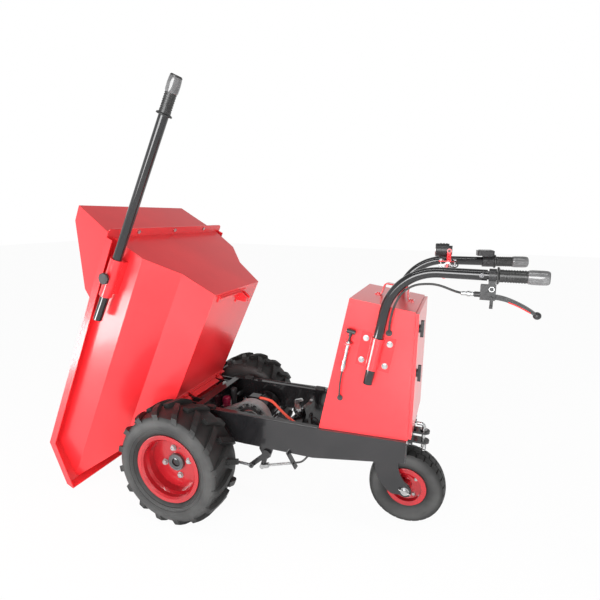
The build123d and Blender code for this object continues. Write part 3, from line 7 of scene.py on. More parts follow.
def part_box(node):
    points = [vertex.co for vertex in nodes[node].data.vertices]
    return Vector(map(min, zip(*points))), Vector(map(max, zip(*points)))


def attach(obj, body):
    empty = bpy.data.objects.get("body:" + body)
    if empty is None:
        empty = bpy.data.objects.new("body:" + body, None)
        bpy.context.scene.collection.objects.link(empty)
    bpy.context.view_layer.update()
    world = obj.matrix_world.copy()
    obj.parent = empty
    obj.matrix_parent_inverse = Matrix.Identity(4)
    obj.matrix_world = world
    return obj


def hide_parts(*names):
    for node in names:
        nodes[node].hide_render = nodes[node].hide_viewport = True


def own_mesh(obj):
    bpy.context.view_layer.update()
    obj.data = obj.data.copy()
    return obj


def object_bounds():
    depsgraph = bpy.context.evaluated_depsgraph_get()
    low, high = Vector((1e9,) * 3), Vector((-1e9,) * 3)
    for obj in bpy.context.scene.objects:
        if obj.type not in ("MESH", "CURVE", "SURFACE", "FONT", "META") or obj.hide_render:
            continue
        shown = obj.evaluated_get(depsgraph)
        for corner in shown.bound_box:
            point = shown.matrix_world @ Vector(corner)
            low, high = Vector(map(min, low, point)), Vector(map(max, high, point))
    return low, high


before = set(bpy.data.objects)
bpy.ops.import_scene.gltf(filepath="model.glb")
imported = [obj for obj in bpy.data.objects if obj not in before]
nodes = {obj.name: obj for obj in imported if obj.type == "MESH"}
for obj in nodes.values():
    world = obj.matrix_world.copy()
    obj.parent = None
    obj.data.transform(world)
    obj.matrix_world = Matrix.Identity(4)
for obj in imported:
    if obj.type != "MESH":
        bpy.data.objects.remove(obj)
cad_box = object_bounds()


# Chassis: an open tub of folded 4 mm plate with lugs and brackets welded on, sprayed gloss black.
# Weld beads follow the seams under the paint, and a round fold runs along the top of each rail.
# A narrow ledge stands forward between the lugs.
def span(tree, value, low, high, low_level, high_level):
    level = tree.nodes.new("ShaderNodeMapRange")
    level.inputs["From Min"].default_value = low
    level.inputs["From Max"].default_value = high
    level.inputs["To Min"].default_value = low_level
    level.inputs["To Max"].default_value = high_level
    tree.links.new(value, level.inputs["Value"])
    return level.outputs["Result"]


def finish(name, dark, light, patch, rough, grain, relief, metal=0.0, coat=0.0, coat_rough=0.05):
    dark_until = 0.32
    light_from = 0.68
    material = bpy.data.materials.new(name)
    material.use_nodes = True
    tree = material.node_tree
    shader = tree.nodes["Principled BSDF"]
    shader.inputs["Metallic"].default_value = metal
    shader.inputs["Coat Weight"].default_value = coat
    shader.inputs["Coat Roughness"].default_value = coat_rough
    place = tree.nodes.new("ShaderNodeTexCoord")
    cloud = tree.nodes.new("ShaderNodeTexNoise")
    cloud.inputs["Scale"].default_value = patch
    cloud.inputs["Detail"].default_value = 5.0
    tone = tree.nodes.new("ShaderNodeValToRGB")
    tone.color_ramp.elements[0].position = dark_until
    tone.color_ramp.elements[0].color = (*dark, 1.0)
    tone.color_ramp.elements[1].position = light_from
    tone.color_ramp.elements[1].color = (*light, 1.0)
    skin = tree.nodes.new("ShaderNodeTexNoise")
    skin.inputs["Scale"].default_value = grain
    skin.inputs["Detail"].default_value = 3.0
    bump = tree.nodes.new("ShaderNodeBump")
    bump.inputs["Distance"].default_value = relief
    gloss = span(tree, cloud.outputs["Fac"], 0.0, 1.0, *rough)
    links = tree.links
    links.new(place.outputs["Object"], cloud.inputs["Vector"])
    links.new(place.outputs["Object"], skin.inputs["Vector"])
    links.new(cloud.outputs["Fac"], tone.inputs["Fac"])
    links.new(tone.outputs["Color"], shader.inputs["Base Color"])
    links.new(gloss, shader.inputs["Roughness"])
    links.new(skin.outputs["Fac"], bump.inputs["Height"])
    links.new(bump.outputs["Normal"], shader.inputs["Normal"])
    return material


def dress(material, *names):
    for name in names:
        nodes[name].data.materials.clear()
        nodes[name].data.materials.append(material)


black_gloss = finish("black_gloss", dark=(0.009, 0.009, 0.010), light=(0.017, 0.016, 0.017),
                     patch=9.0, rough=(0.12, 0.2), grain=420.0, relief=0.00001, coat=0.4)
dress(black_gloss, "chassis_frame")


def pick(piece):
    bpy.ops.object.select_all(action="DESELECT")
    piece.select_set(True)
    bpy.context.view_layer.objects.active = piece


def settle(piece, place, material, body, slot):
    pick(piece)
    piece.matrix_world = place @ piece.matrix_world
    bpy.ops.object.transform_apply(location=True, rotation=True, scale=True)
    piece.data.materials.append(material)
    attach(piece, body)


def along(start, run):
    return Matrix.Translation(start) @ run.to_track_quat("Z", "Y").to_matrix().to_4x4()


bead_radius = 0.0034
bead_shape = (0.85, 0.85, 1.25)
bead_pitch = 0.0052
fewest_beads = 3


def weld(name, start, end, material, body, slot):
    run = Vector(end) - Vector(start)
    beads = max(fewest_beads, round(run.length / bead_pitch))
    bpy.ops.object.select_all(action="DESELECT")
    bpy.ops.mesh.primitive_ico_sphere_add(subdivisions=2, radius=bead_radius)
    bead = bpy.context.object
    bead.name = name
    bpy.ops.object.mode_set(mode="EDIT")
    bpy.ops.mesh.select_all(action="SELECT")
    bpy.ops.transform.resize(value=bead_shape, center_override=(0.0, 0.0, 0.0))
    bpy.ops.object.mode_set(mode="OBJECT")
    bpy.ops.object.shade_smooth()
    row = bead.modifiers.new("row", "ARRAY")
    row.count = beads
    row.use_relative_offset = False
    row.use_constant_offset = True
    row.constant_offset_displace = (0.0, 0.0, run.length / beads)
    bpy.ops.object.modifier_apply(modifier="row")
    settle(bead, along(start, run), material, body, slot)


chassis_black = (black_gloss, "chassis", "black_paint")


def upright_weld(name, x, y, low, high):
    weld(name, (x, y, low), (x, y, high), *chassis_black)


sides = ((-1, "left"), (1, "right"))
seam_lift = 0.0005
seam_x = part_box("chassis_frame")[1].x + seam_lift
corner_y = 0.1624
corner_seam = (0.288, 0.350)
lug_x = -0.2734
lug_faces = (0.0913, 0.1327)
lug_seam = (0.270, 0.339)
for side, hand in sides:
    upright_weld(hand + "_rear_weld", seam_x, side * corner_y, *corner_seam)
    for number, lug_y in enumerate(lug_faces):
        upright_weld(hand + "_lug_weld_" + str(number), lug_x, side * lug_y, *lug_seam)


def plate(name, wide, deep):
    bpy.ops.object.select_all(action="DESELECT")
    bpy.ops.mesh.primitive_plane_add(size=1.0)
    piece = bpy.context.object
    piece.name = name
    bpy.ops.object.mode_set(mode="EDIT")
    bpy.ops.mesh.select_all(action="SELECT")
    bpy.ops.transform.resize(value=(wide, deep, 1.0), center_override=(0.0, 0.0, 0.0))
    return piece


def pull(x, y, z):
    bpy.ops.mesh.extrude_region_move(TRANSFORM_OT_translate={"value": (x, y, z)})


def close_up():
    bpy.ops.mesh.select_all(action="SELECT")
    bpy.ops.mesh.normals_make_consistent(inside=False)
    bpy.ops.object.mode_set(mode="OBJECT")


def round_edges(piece, width, segments):
    edge = piece.modifiers.new("edge", "BEVEL")
    edge.width = width
    edge.segments = segments
    bpy.ops.object.modifier_apply(modifier="edge")


ledge_thick = 0.0036
ledge_place = (-0.2830, 0.0, 0.3382)
flat_crease = math.radians(40)
ledge = plate("front_ledge", wide=0.0215, deep=0.1755)
pull(0.0, 0.0, ledge_thick)
close_up()
round_edges(ledge, width=0.0012, segments=3)
bpy.ops.object.shade_smooth_by_angle(angle=flat_crease)
settle(ledge, Matrix.Translation(ledge_place), *chassis_black)

mm = 0.001
same_point = 0.00001
turned_crease = math.radians(32)


def turn_up(name, profile, corners):
    ring = profile[0] == profile[-1]
    radius, height = profile[0]
    fill = "NOTHING" if ring else "NGON"
    bpy.ops.object.select_all(action="DESELECT")
    bpy.ops.mesh.primitive_circle_add(vertices=corners, radius=radius * mm, fill_type=fill)
    piece = bpy.context.object
    piece.name = name
    bpy.ops.object.mode_set(mode="EDIT")
    bpy.ops.mesh.select_all(action="SELECT")
    bpy.ops.transform.translate(value=(0.0, 0.0, height * mm))
    for next_radius, next_height in profile[1:]:
        pull(0.0, 0.0, (next_height - height) * mm)
        spread = next_radius / radius
        level = (0.0, 0.0, next_height * mm)
        bpy.ops.transform.resize(value=(spread, spread, 1.0), center_override=level)
        radius, height = next_radius, next_height
    if ring:
        bpy.ops.mesh.select_all(action="SELECT")
        bpy.ops.mesh.remove_doubles(threshold=same_point)
    close_up()
    bpy.ops.object.shade_smooth_by_angle(angle=turned_crease)
    return piece


def copies(piece, *names):
    pieces = [piece]
    for name in names:
        pick(piece)
        bpy.ops.object.duplicate()
        bpy.context.object.name = name
        pieces.append(bpy.context.object)
    return pieces


fold_y = 0.1605
fold_start = Vector((-0.2725, 0.0, 0.3404))
fold_run = Vector((0.1850, 0.0, 0.3467)) - fold_start
fold_long = fold_run.length / mm
fold_profile = [(1.4, 0), (2.1, 0.8), (2.1, fold_long - 0.8), (1.4, fold_long)]
folds = copies(turn_up("left_fold", fold_profile, corners=20), "right_fold")
for fold, y in zip(folds, (-fold_y, fold_y)):
    settle(fold, along(fold_start + Vector((0.0, y, 0.0)), fold_run), *chassis_black)


# Rest pads: three moulded rubber blocks that the lowered skip lies on, and the cable grommets.
# They are soft black rubber, pressed on the rails and into the holes of the console.
soft_rubber = finish("soft_rubber", dark=(0.018, 0.018, 0.018), light=(0.034, 0.034, 0.034),
                     patch=30.0, rough=(0.5, 0.7), grain=900.0, relief=0.00012)
dress(soft_rubber, "rubber_pads")


# Axle: a cast iron housing with brake backing plates, held under the chassis by U-bolts.
# A filler cap and a dark breather post are screwed into the top of its middle; the cap's maroon is painted
# reflection of the red skip in black gloss.
# The casting keeps a sandy skin under thin dark paint.
cast_iron = finish("cast_iron", dark=(0.022, 0.022, 0.023), light=(0.05, 0.05, 0.052),
                   patch=22.0, rough=(0.42, 0.6), grain=260.0, relief=0.0004, metal=0.35)
dress(cast_iron, "axle_housing", "brake_shoes")

# Painted reflection: the filler cap's gloss is coloured maroon for the red skip mirrored in it.
cap_painted_reflection = finish("cap_painted_reflection", dark=(0.24, 0.008, 0.035), light=(0.34, 0.014, 0.055),
                    patch=60.0, rough=(0.16, 0.26), grain=700.0, relief=0.00006, coat=0.6)
axle_low, axle_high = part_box("axle_housing")
axle = (axle_low + axle_high) / 2
cap_spot = (axle.x + 0.008, 0.036, axle.z + 0.0565)
cap_profile = [(12, -4), (12, 9), (15.5, 10), (17, 12), (17, 17), (15.6, 18), (15.6, 21), (17, 22),
               (17, 40), (15.5, 44), (11, 47), (4, 48)]
cap = turn_up("filler_cap", cap_profile, corners=40)
settle(cap, Matrix.Translation(cap_spot), cap_painted_reflection, "chassis", "red_button")
post_spot = (axle.x + 0.026, 0.064, axle.z + 0.0505)
post_profile = [(14, -8), (14, 6), (11.5, 8), (11.5, 60), (12.8, 62), (12.8, 74), (11.5, 78), (8, 80),
                (3, 80.5)]
post = turn_up("breather_post", post_profile, corners=32)
settle(post, Matrix.Translation(post_spot), cast_iron, "chassis", "iron")


# Gear case: a ribbed casting of bare grey aluminium on the axle, with the black drive motor behind it.
# On the bearing seat of its face a machined lip stands between two black rubber rings, which are painted
# shade: the outer ring for the groove round the lip, the inner disc for the bearing hole.
# Twelve dark hex bolts stand round it in the recess of the face, one between each pair of spokes.
cast_alloy = finish("cast_alloy", dark=(0.26, 0.26, 0.257), light=(0.42, 0.42, 0.415),
                    patch=26.0, rough=(0.38, 0.58), grain=380.0, relief=0.00025, metal=0.4)
dress(cast_alloy, "gear_case", "motor_controller")
dress(black_gloss, "drive_motor")

bright_alloy = finish("bright_alloy", dark=(0.62, 0.62, 0.61), light=(0.76, 0.76, 0.75),
                      patch=40.0, rough=(0.22, 0.34), grain=900.0, relief=0.00005, metal=1.0)
to_minus_y = Matrix.Rotation(math.radians(90), 4, "X")
to_plus_y = Matrix.Rotation(math.radians(-90), 4, "X")
bell_radius = 0.074
case_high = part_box("gear_case")[1]
bearing = Vector((case_high.x - bell_radius, 0.0, case_high.z - bell_radius))


def beside(centre, y, way):
    return Matrix.Translation((centre.x, y, centre.z)) @ way


lip_profile = [(34, -2), (34, 3.2), (35, 4), (40, 4), (41, 3), (41, -2), (34, -2)]
lip_y = -0.0175
lip = turn_up("bearing_lip", lip_profile, corners=56)
settle(lip, beside(bearing, lip_y, to_minus_y), bright_alloy, "chassis", "alu")
# Painted shade: a black rubber disc fills the bearing hole, and a black rubber ring lies where the groove
# round the lip is in shade.
hole_shade_profile = [(12, -2), (12, 1.5), (14, 2.6), (32, 2.6), (33.8, 1.4), (33.8, -2), (12, -2)]
hole_shade_y = -0.0178
hole_shade = turn_up("bearing_hole_shade", hole_shade_profile, corners=48)
settle(hole_shade, beside(bearing, hole_shade_y, to_minus_y), soft_rubber, "chassis", "rubber")
groove_profile = [(41.4, -2), (41.4, 0.6), (42, 1), (51, 1), (52, 0.4), (52, -2), (41.4, -2)]
groove_y = -0.0185
groove = turn_up("bell_groove_shade", groove_profile, corners=56)
settle(groove, beside(bearing, groove_y, to_minus_y), soft_rubber, "chassis", "rubber")


def round_spot(centre, radius, degrees, y):
    lean = math.radians(degrees)
    return Vector((centre.x + radius * math.cos(lean), y, centre.z + radius * math.sin(lean)))


dark_steel = finish("dark_steel", dark=(0.10, 0.10, 0.105), light=(0.19, 0.19, 0.195),
                    patch=50.0, rough=(0.26, 0.4), grain=800.0, relief=0.0001, metal=0.85)
chassis_steel = (dark_steel, "chassis", "zinc")
bell_circle = 0.0585
bell_count = 12
first_turn = 15
recess_y = -0.011
bell_bolt_profile = [(5.6, -1), (5.6, 6.6), (4.8, 7.4), (2.0, 7.6)]
names = ["bell_bolt_" + str(number) for number in range(bell_count)]
bell_bolts = copies(turn_up(names[0], bell_bolt_profile, corners=6), *names[1:])
for number, bolt in enumerate(bell_bolts):
    spot = round_spot(bearing, bell_circle, first_turn + number * 360 / bell_count, recess_y)
    settle(bolt, Matrix.Translation(spot) @ to_minus_y, *chassis_steel)

orange_jacket = finish("orange_jacket", dark=(0.90, 0.10, 0.060), light=(0.96, 0.15, 0.090),
                       patch=30.0, rough=(0.3, 0.45), grain=500.0, relief=0.00008)
dress(orange_jacket, "motor_cable")


# Main wheels: bar-tread tyres on deep-dish pressed rims, each bolted to its hub by four bolts.
# The rubber is black, with painted shade darkening it towards the bead and the tread so the wall bulge is
# lightest, and two moulded ridges stand on each wall.
# The rims are gloss red, darkened well below the skip's red as painted shade for their dishes. A collar and
# a pressed cap close each hub, and a rubber valve stands in each dish.
def tyre_finish(name, centre, bead, bulge, wall, tread):
    bead_shade = 0.5
    tread_shade = 0.45
    material = finish(name, dark=(0.030, 0.030, 0.030), light=(0.056, 0.056, 0.055),
                      patch=14.0, rough=(0.42, 0.56), grain=700.0, relief=0.0002)
    tree = material.node_tree
    shader = tree.nodes["Principled BSDF"]
    shader.inputs["Specular IOR Level"].default_value = 0.22
    tint = shader.inputs["Base Color"]
    tone = tint.links[0].from_socket
    place = tree.nodes.new("ShaderNodeTexCoord")
    shift = tree.nodes.new("ShaderNodeMapping")
    shift.inputs["Location"].default_value = (-centre.x, 0.0, -centre.z)
    shift.inputs["Scale"].default_value = (1.0, 0.0, 1.0)
    reach = tree.nodes.new("ShaderNodeVectorMath")
    reach.operation = "LENGTH"
    # Painted shade: the tone darkens from the wall towards the tread and from the bulge towards the bead.
    outer_shade = span(tree, reach.outputs["Value"], wall, tread, 1.0, tread_shade)
    inner_shade = span(tree, reach.outputs["Value"], bead, bulge, bead_shade, 1.0)
    both = tree.nodes.new("ShaderNodeMath")
    both.operation = "MULTIPLY"
    deep = tree.nodes.new("ShaderNodeVectorMath")
    deep.operation = "SCALE"
    links = tree.links
    links.new(place.outputs["Object"], shift.inputs["Vector"])
    links.new(shift.outputs["Vector"], reach.inputs[0])
    links.new(outer_shade, both.inputs[0])
    links.new(inner_shade, both.inputs[1])
    links.new(tone, deep.inputs[0])
    links.new(both.outputs["Value"], deep.inputs["Scale"])
    links.new(deep.outputs["Vector"], tint)
    return material


tyre_rubber = tyre_finish("tyre_rubber", axle, bead=0.122, bulge=0.152, wall=0.166, tread=0.182)
dress(tyre_rubber, "left_tyre", "right_tyre")
# Painted shade: the rim red is set far darker than the skip's paint to stand for the shade in the deep
# dishes.
rim_red_painted_shade = finish("rim_red_painted_shade", dark=(0.26, 0.005, 0.009), light=(0.34, 0.007, 0.012),
                 patch=12.0, rough=(0.2, 0.3), grain=380.0, relief=0.00003, coat=0.6)
dress(rim_red_painted_shade, "left_rim", "right_rim", "caster_rim")
zinc = finish("zinc", dark=(0.42, 0.43, 0.44), light=(0.64, 0.64, 0.63),
              patch=60.0, rough=(0.2, 0.36), grain=1200.0, relief=0.00004, metal=1.0)
dress(zinc, "left_wheel_bolts", "right_wheel_bolts", "frame_fasteners")
dress(dark_steel, "left_hub", "right_hub")

hub_cap_y = 0.2782
hub_cap_profile = [(14.7, -1), (14.7, 3), (13.4, 5), (10, 6.4), (5, 7.0), (4.4, 6.2), (2, 6.0)]
hub_caps = copies(turn_up("left_hub_cap", hub_cap_profile, corners=36), "right_hub_cap")
collar_y = 0.2766
collar_profile = [(21, -1), (21, 8), (23, 10.6), (27.4, 11), (28.8, 9.6), (28.8, -1), (21, -1)]
collars = copies(turn_up("left_hub_collar", collar_profile, corners=48), "right_hub_collar")
valve_y = 0.2765
valve_circle = 0.080
valve_turn = 64
valve_profile = [(6, -1), (6, 3), (3.8, 7), (3.8, 22), (4.4, 22.6), (4.4, 31), (3.2, 32.6), (1.2, 32.8)]
valves = copies(turn_up("left_valve", valve_profile, corners=18), "right_valve")
for number, (side, hand) in enumerate(sides):
    body = hand + "_wheel"
    face = to_minus_y if side < 0 else to_plus_y
    settle(hub_caps[number], beside(axle, side * hub_cap_y, face), black_gloss, body, "black_paint")
    settle(collars[number], beside(axle, side * collar_y, face), dark_steel, body, "zinc")
    valve_place = Matrix.Translation(round_spot(axle, valve_circle, valve_turn, side * valve_y)) @ face
    settle(valves[number], valve_place, soft_rubber, body, "rubber")

wheel_plane = 0.270
wall_reach = 0.0727
wall_ridge = [(137.6, -1.2), (139.0, 0.9), (141.0, 1.1), (142.4, 0.2), (140.5, -1.6), (137.6, -1.2)]
bead_reach = 0.0677
bead_ridge = [(126.2, -1.4), (127.2, 1.0), (129.0, 2.0), (130.4, 1.2), (129.0, -1.6), (126.2, -1.4)]
for kind, profile, reach in (("wall", wall_ridge, wall_reach), ("bead", bead_ridge, bead_reach)):
    names = [hand + wall + kind + "_ridge" for hand in ("left", "right") for wall in ("_outer_", "_inner_")]
    ridges = copies(turn_up(names[0], profile, corners=96), *names[1:])
    for number, ridge in enumerate(ridges):
        side, hand = sides[number // 2]
        out = 1 if number % 2 == 0 else -1
        way = to_minus_y if side * out < 0 else to_plus_y
        place = beside(axle, side * (wheel_plane + out * reach), way)
        settle(ridge, place, tyre_rubber, hand + "_wheel", "tyre")


# Caster: a swivel fork folded from plate, carrying the rear wheel on one pin.
# The fork is gloss black, the pin, its split pin and the rim's hex bolts are zinc.
dress(black_gloss, "caster_head", "caster_fork")
dress(zinc, "caster_pins")

caster_low, caster_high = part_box("caster_tyre")
caster = (caster_low + caster_high) / 2
# The caster tyre gets the same painted shade at its bead and tread.
caster_rubber = tyre_finish("caster_rubber", caster, bead=0.070, bulge=0.092, wall=0.104, tread=0.114)
dress(caster_rubber, "caster_tyre")

caster_bolt_y = 0.0118
caster_bolt_circle = 0.039
caster_bolt_profile = [(6.6, -1), (6.6, 5.4), (5.6, 6.4), (2.4, 6.6)]
caster_first_turn = 40
face_count = 4
names = ["caster_" + hand + "_bolt_" + str(number)
         for hand in ("left", "right") for number in range(face_count)]
caster_bolts = copies(turn_up(names[0], caster_bolt_profile, corners=6), *names[1:])
for number, bolt in enumerate(caster_bolts):
    side, face = (-1, to_minus_y) if number < face_count else (1, to_plus_y)
    turn = caster_first_turn + number * 360 / face_count
    spot = round_spot(caster, caster_bolt_circle, turn, side * caster_bolt_y)
    settle(bolt, Matrix.Translation(spot) @ face, zinc, "caster_wheel", "zinc")


# Skip: folded red sheet with a turned rim, hinged at the front cross-member of the chassis.
# The bolted board at its rear adds height. All of it is gloss red enamel.
# Weld beads run along the hinge bar and the striker under the floor.
red_gloss = finish("red_gloss", dark=(0.70, 0.020, 0.026), light=(0.78, 0.026, 0.032),
                   patch=6.0, rough=(0.26, 0.34), grain=380.0, relief=0.00002, coat=0.4, coat_rough=0.12)
dress(red_gloss, "skip_body", "skip_extension", "skip_brackets")
dress(zinc, "extension_screws")

hinge = Vector((-0.330832, 0.0, 0.331))
tip = math.radians(66.4)


def on_skip(x, y, z):
    tipped_x = x * math.cos(tip) - z * math.sin(tip)
    tipped_z = x * math.sin(tip) + z * math.cos(tip)
    return hinge + Vector((tipped_x, y, tipped_z))


skip_red = (red_gloss, "skip", "red_paint")
floor_under = 0.0192
bar_edge = 0.0203
bar_half = 0.150
for number, seam in enumerate((-bar_edge, bar_edge)):
    bar_ends = (on_skip(seam, -bar_half, floor_under), on_skip(seam, bar_half, floor_under))
    weld("hinge_bar_weld_" + str(number), *bar_ends, *skip_red)
striker_edge = 0.4293
striker_ends = (on_skip(striker_edge, -0.125, floor_under), on_skip(striker_edge, 0.060, floor_under))
weld("striker_weld", *striker_ends, *skip_red)


# Dump handle: a black tube that slides in a red sleeve on the skip, with a rubber grip.
# A moulded star knob screws through the sleeve and clamps it. The grip ends in a smooth palm cap, lighter
# grey than the grip as painted sheen.
tube_red = finish("tube_red", dark=(0.68, 0.016, 0.022), light=(0.76, 0.022, 0.029),
                  patch=10.0, rough=(0.14, 0.22), grain=420.0, relief=0.00001, coat=0.6)
dress(tube_red, "handle_sleeve")
tube_black = finish("tube_black", dark=(0.006, 0.006, 0.007), light=(0.011, 0.011, 0.012),
                    patch=9.0, rough=(0.05, 0.09), grain=420.0, relief=0.000005, coat=0.5, coat_rough=0.03)
dress(tube_black, "dump_handle")
grip_rubber = finish("grip_rubber", dark=(0.016, 0.016, 0.016), light=(0.030, 0.030, 0.030),
                     patch=40.0, rough=(0.24, 0.38), grain=800.0, relief=0.00008)
dress(grip_rubber, "dump_grip", "left_grip", "throttle_grip")
black_plastic = finish("black_plastic", dark=(0.014, 0.014, 0.015), light=(0.026, 0.026, 0.027),
                       patch=40.0, rough=(0.28, 0.42), grain=1100.0, relief=0.00012)
dress(black_plastic, "clamp_knob")

# The palm caps are glossy, and their grey is set lighter than the black grip as partly painted sheen.
palm_gloss_and_painted_sheen = finish("palm_gloss_and_painted_sheen", dark=(0.085, 0.085, 0.087), light=(0.14, 0.14, 0.142),
                    patch=40.0, rough=(0.12, 0.2), grain=700.0, relief=0.00003, coat=0.9)
handle_low = on_skip(0.242, -0.328, 0.292)
handle_lean = math.radians(92.1)
handle_run = on_skip(math.sin(handle_lean), 0.0, math.cos(handle_lean)) - hinge
grip_start = 0.6562
dump_palm_profile = [(15, 60), (17.2, 62), (18.0, 68), (18.1, 84), (17.3, 96), (16.2, 103), (14, 106.2),
                     (5, 106.8)]
dump_palm = turn_up("dump_palm_end", dump_palm_profile, corners=48)
settle(dump_palm, along(handle_low + handle_run * grip_start, handle_run), palm_gloss_and_painted_sheen, "dump_bar", "rubber")


# Console: a red sheet box on the rear of the chassis, with a rear door and two cam latches.
# The batteries and the motor controller stand inside it on a tray.
battery_case = finish("battery_case", dark=(0.03, 0.032, 0.036), light=(0.055, 0.057, 0.06),
                      patch=20.0, rough=(0.4, 0.55), grain=500.0, relief=0.0001)
dress(red_gloss, "box_shell", "box_door")
dress(tube_red, "grab_handle")
dress(black_plastic, "door_latch_low", "door_latch_high")
dress(battery_case, "battery_pack")


# Handlebars: two bent black tubes, each held to the console by a folded red clamp.
# A small red tube joins them and carries the work lamp.
# A dark steel screw with a washer pins the bar core in the end of each tube.
dress(tube_black, "handlebars")
dress(tube_red, "handlebar_clamps", "lamp_bar")


def bar_frame(side):
    run = Vector((0.137, side * 0.014, 0.002)).normalized()
    up = (Vector((0.0, 0.0, 1.0)) - run * run.z).normalized()
    flank = run.cross(up)
    start = Vector((0.6311676, side * 0.189, 0.860))
    return Matrix.Translation(start) @ Matrix((up, flank, run)).transposed().to_4x4()


left_bar = bar_frame(-1)
right_bar = bar_frame(1)
tube_flank = 0.0136
screw_back = -0.013
washer_profile = [(6.0, -1), (6.0, 0.6), (5.6, 1.0), (3.0, 1.1)]
washers = copies(turn_up("left_tube_washer", washer_profile, corners=30), "right_tube_washer")
screw_profile = [(4.2, -1), (4.2, 3.6), (3.5, 4.2), (2.2, 4.2), (1.9, 3.0), (0.8, 3.0)]
screws = copies(turn_up("left_tube_screw", screw_profile, corners=6), "right_tube_screw")
left_place = left_bar @ Matrix.Translation((0.0, tube_flank, screw_back)) @ to_plus_y
right_place = right_bar @ Matrix.Translation((0.0, -tube_flank, screw_back)) @ to_minus_y
for washer, screw, place in zip(washers, screws, (left_place, right_place)):
    settle(washer, place, *chassis_steel)
    settle(screw, place, *chassis_steel)


# Controls: the brake lever and its perch on the left bar, the throttle and pod on the right.
# Castings are satin black, cables have black jackets, and the lever carries a red plastic strip.
# A zinc barrel adjusts the brake cable, and the pod has a blank dark display in a raised bezel.
red_plastic = finish("red_plastic", dark=(0.60, 0.012, 0.014), light=(0.70, 0.02, 0.02),
                     patch=60.0, rough=(0.28, 0.4), grain=900.0, relief=0.00008)
dress(black_plastic, "brake_perch", "brake_lever", "park_tab", "control_pod", "pod_button")
dress(soft_rubber, "control_cables")

strip_y = 0.0072
strip_course = [(-0.0640, 0.052), (-0.0685, 0.066), (-0.0740, 0.079), (-0.0800, 0.091), (-0.0860, 0.103)]
strip = plate("lever_strip", wide=0.0036, deep=0.0056)
strip_x, strip_z = strip_course[0]
bpy.ops.transform.translate(value=(strip_x, strip_y, strip_z))
for next_x, next_z in strip_course[1:]:
    pull(next_x - strip_x, 0.0, next_z - strip_z)
    strip_x, strip_z = next_x, next_z
close_up()
round_edges(strip, width=0.0012, segments=3)
bpy.ops.object.shade_smooth_by_angle(angle=flat_crease)
settle(strip, left_bar, red_plastic, "brake_lever", "red_button")

# The handlebar grips end in the same palm caps, with the same partly painted sheen.
palm_start = Matrix.Translation((0.0, 0.0, 0.0217))
palm_profile = [(15, 68), (17.2, 70), (18.1, 77), (18.2, 100), (17.6, 110), (16, 114.6), (12, 115.6),
                (5, 115.8)]
left_palm, right_palm = copies(turn_up("left_palm_end", palm_profile, corners=48), "right_palm_end")
settle(left_palm, left_bar @ palm_start, palm_gloss_and_painted_sheen, "chassis", "rubber")
settle(right_palm, right_bar @ palm_start, palm_gloss_and_painted_sheen, "throttle", "rubber")

ring_place = Matrix.Translation((-0.0335, 0.0108, 0.0125))
ring_profile = [(4.2, -1), (4.2, 1.4), (5.0, 2.4), (6.6, 2.4), (7.4, 1.4), (7.4, -1), (4.2, -1)]
perch_ring = turn_up("perch_ring", ring_profile, corners=32)
settle(perch_ring, left_bar @ ring_place @ to_plus_y, zinc, "chassis", "zinc")
barrel_place = Matrix.Translation((-0.050, 0.0, 0.0))
barrel_profile = [(4.2, -60), (5.3, -59), (5.3, -46), (7.2, -45), (7.2, -38), (5.7, -37), (5.7, -30),
                  (4.2, -30), (4.2, -60)]
barrel = turn_up("cable_adjuster", barrel_profile, corners=24)
settle(barrel, left_bar @ barrel_place, zinc, "chassis", "zinc")

bezel_rise = 0.0022
bezel_sink = -0.0012
bezel = plate("pod_bezel", wide=0.040, deep=0.036)
pull(0.0, 0.0, bezel_rise)
bpy.ops.mesh.inset(thickness=0.0035)
pull(0.0, 0.0, bezel_sink)
close_up()
round_edges(bezel, width=0.0005, segments=2)
to_plus_x = Matrix.Rotation(math.radians(90), 4, "Y")
pod_top = right_bar @ Matrix.Translation((0.0346, 0.0, 0.008)) @ to_plus_x
settle(bezel, pod_top, black_plastic, "chassis", "black_plastic")

screen_glass = finish("screen_glass", dark=(0.020, 0.024, 0.028), light=(0.036, 0.040, 0.046),
                      patch=18.0, rough=(0.04, 0.1), grain=300.0, relief=0.00001, coat=1.0)
display_thick = 0.0007
display_lift = Matrix.Translation((0.0, 0.0, 0.0008))
display = plate("pod_display", wide=0.0325, deep=0.0285)
pull(0.0, 0.0, display_thick)
bpy.ops.mesh.inset(thickness=0.0006)
close_up()
settle(display, pod_top @ display_lift, screen_glass, "chassis", "black_plastic")


# Work lamp: a black plastic drum on a red yoke, with a clear lens in a bright ring.
# It is clamped on the cross tube and tilts by hand.
lens_clear = finish("lens_clear", dark=(0.72, 0.74, 0.76), light=(0.86, 0.87, 0.88),
                    patch=80.0, rough=(0.06, 0.14), grain=500.0, relief=0.0002)
dress(black_plastic, "lamp_body")
dress(tube_red, "lamp_bracket")
dress(lens_clear, "lamp_lens")

to_minus_x = Matrix.Rotation(math.radians(-90), 4, "Y")
lens_low, lens_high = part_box("lamp_lens")
lens_middle = (lens_low + lens_high) / 2
lens_face = Matrix.Translation((lens_low.x, lens_middle.y, lens_middle.z)) @ to_minus_x
lens_profile = [(16.8, -0.5), (16.8, 1.2), (18.0, 2.2), (20.2, 2.2), (20.9, 1.2), (20.9, -0.5),
                (16.8, -0.5)]
lens_ring = turn_up("lens_ring", lens_profile, corners=48)
settle(lens_ring, lens_face, bright_alloy, "lamp", "alu")


# Skip latch: a pull knob on a threaded guide, and a hook lever in the chassis well.
# The knob is moulded plastic, and the guide and the hook are zinc plated.
dress(zinc, "latch_guide", "skip_latch")
dress(black_plastic, "latch_knob")


# Brake linkage: crank, rods, cams and pull wire under the chassis. The crank is painted black,
# rods and cams are oiled dark, and the wire is zinc plated.
# A zinc coil spring round the wire presses the yoke back and rides with the wire.
dress(black_gloss, "brake_crank")
dress(dark_steel, "brake_rods", "brake_cams")
dress(zinc, "pull_wire")

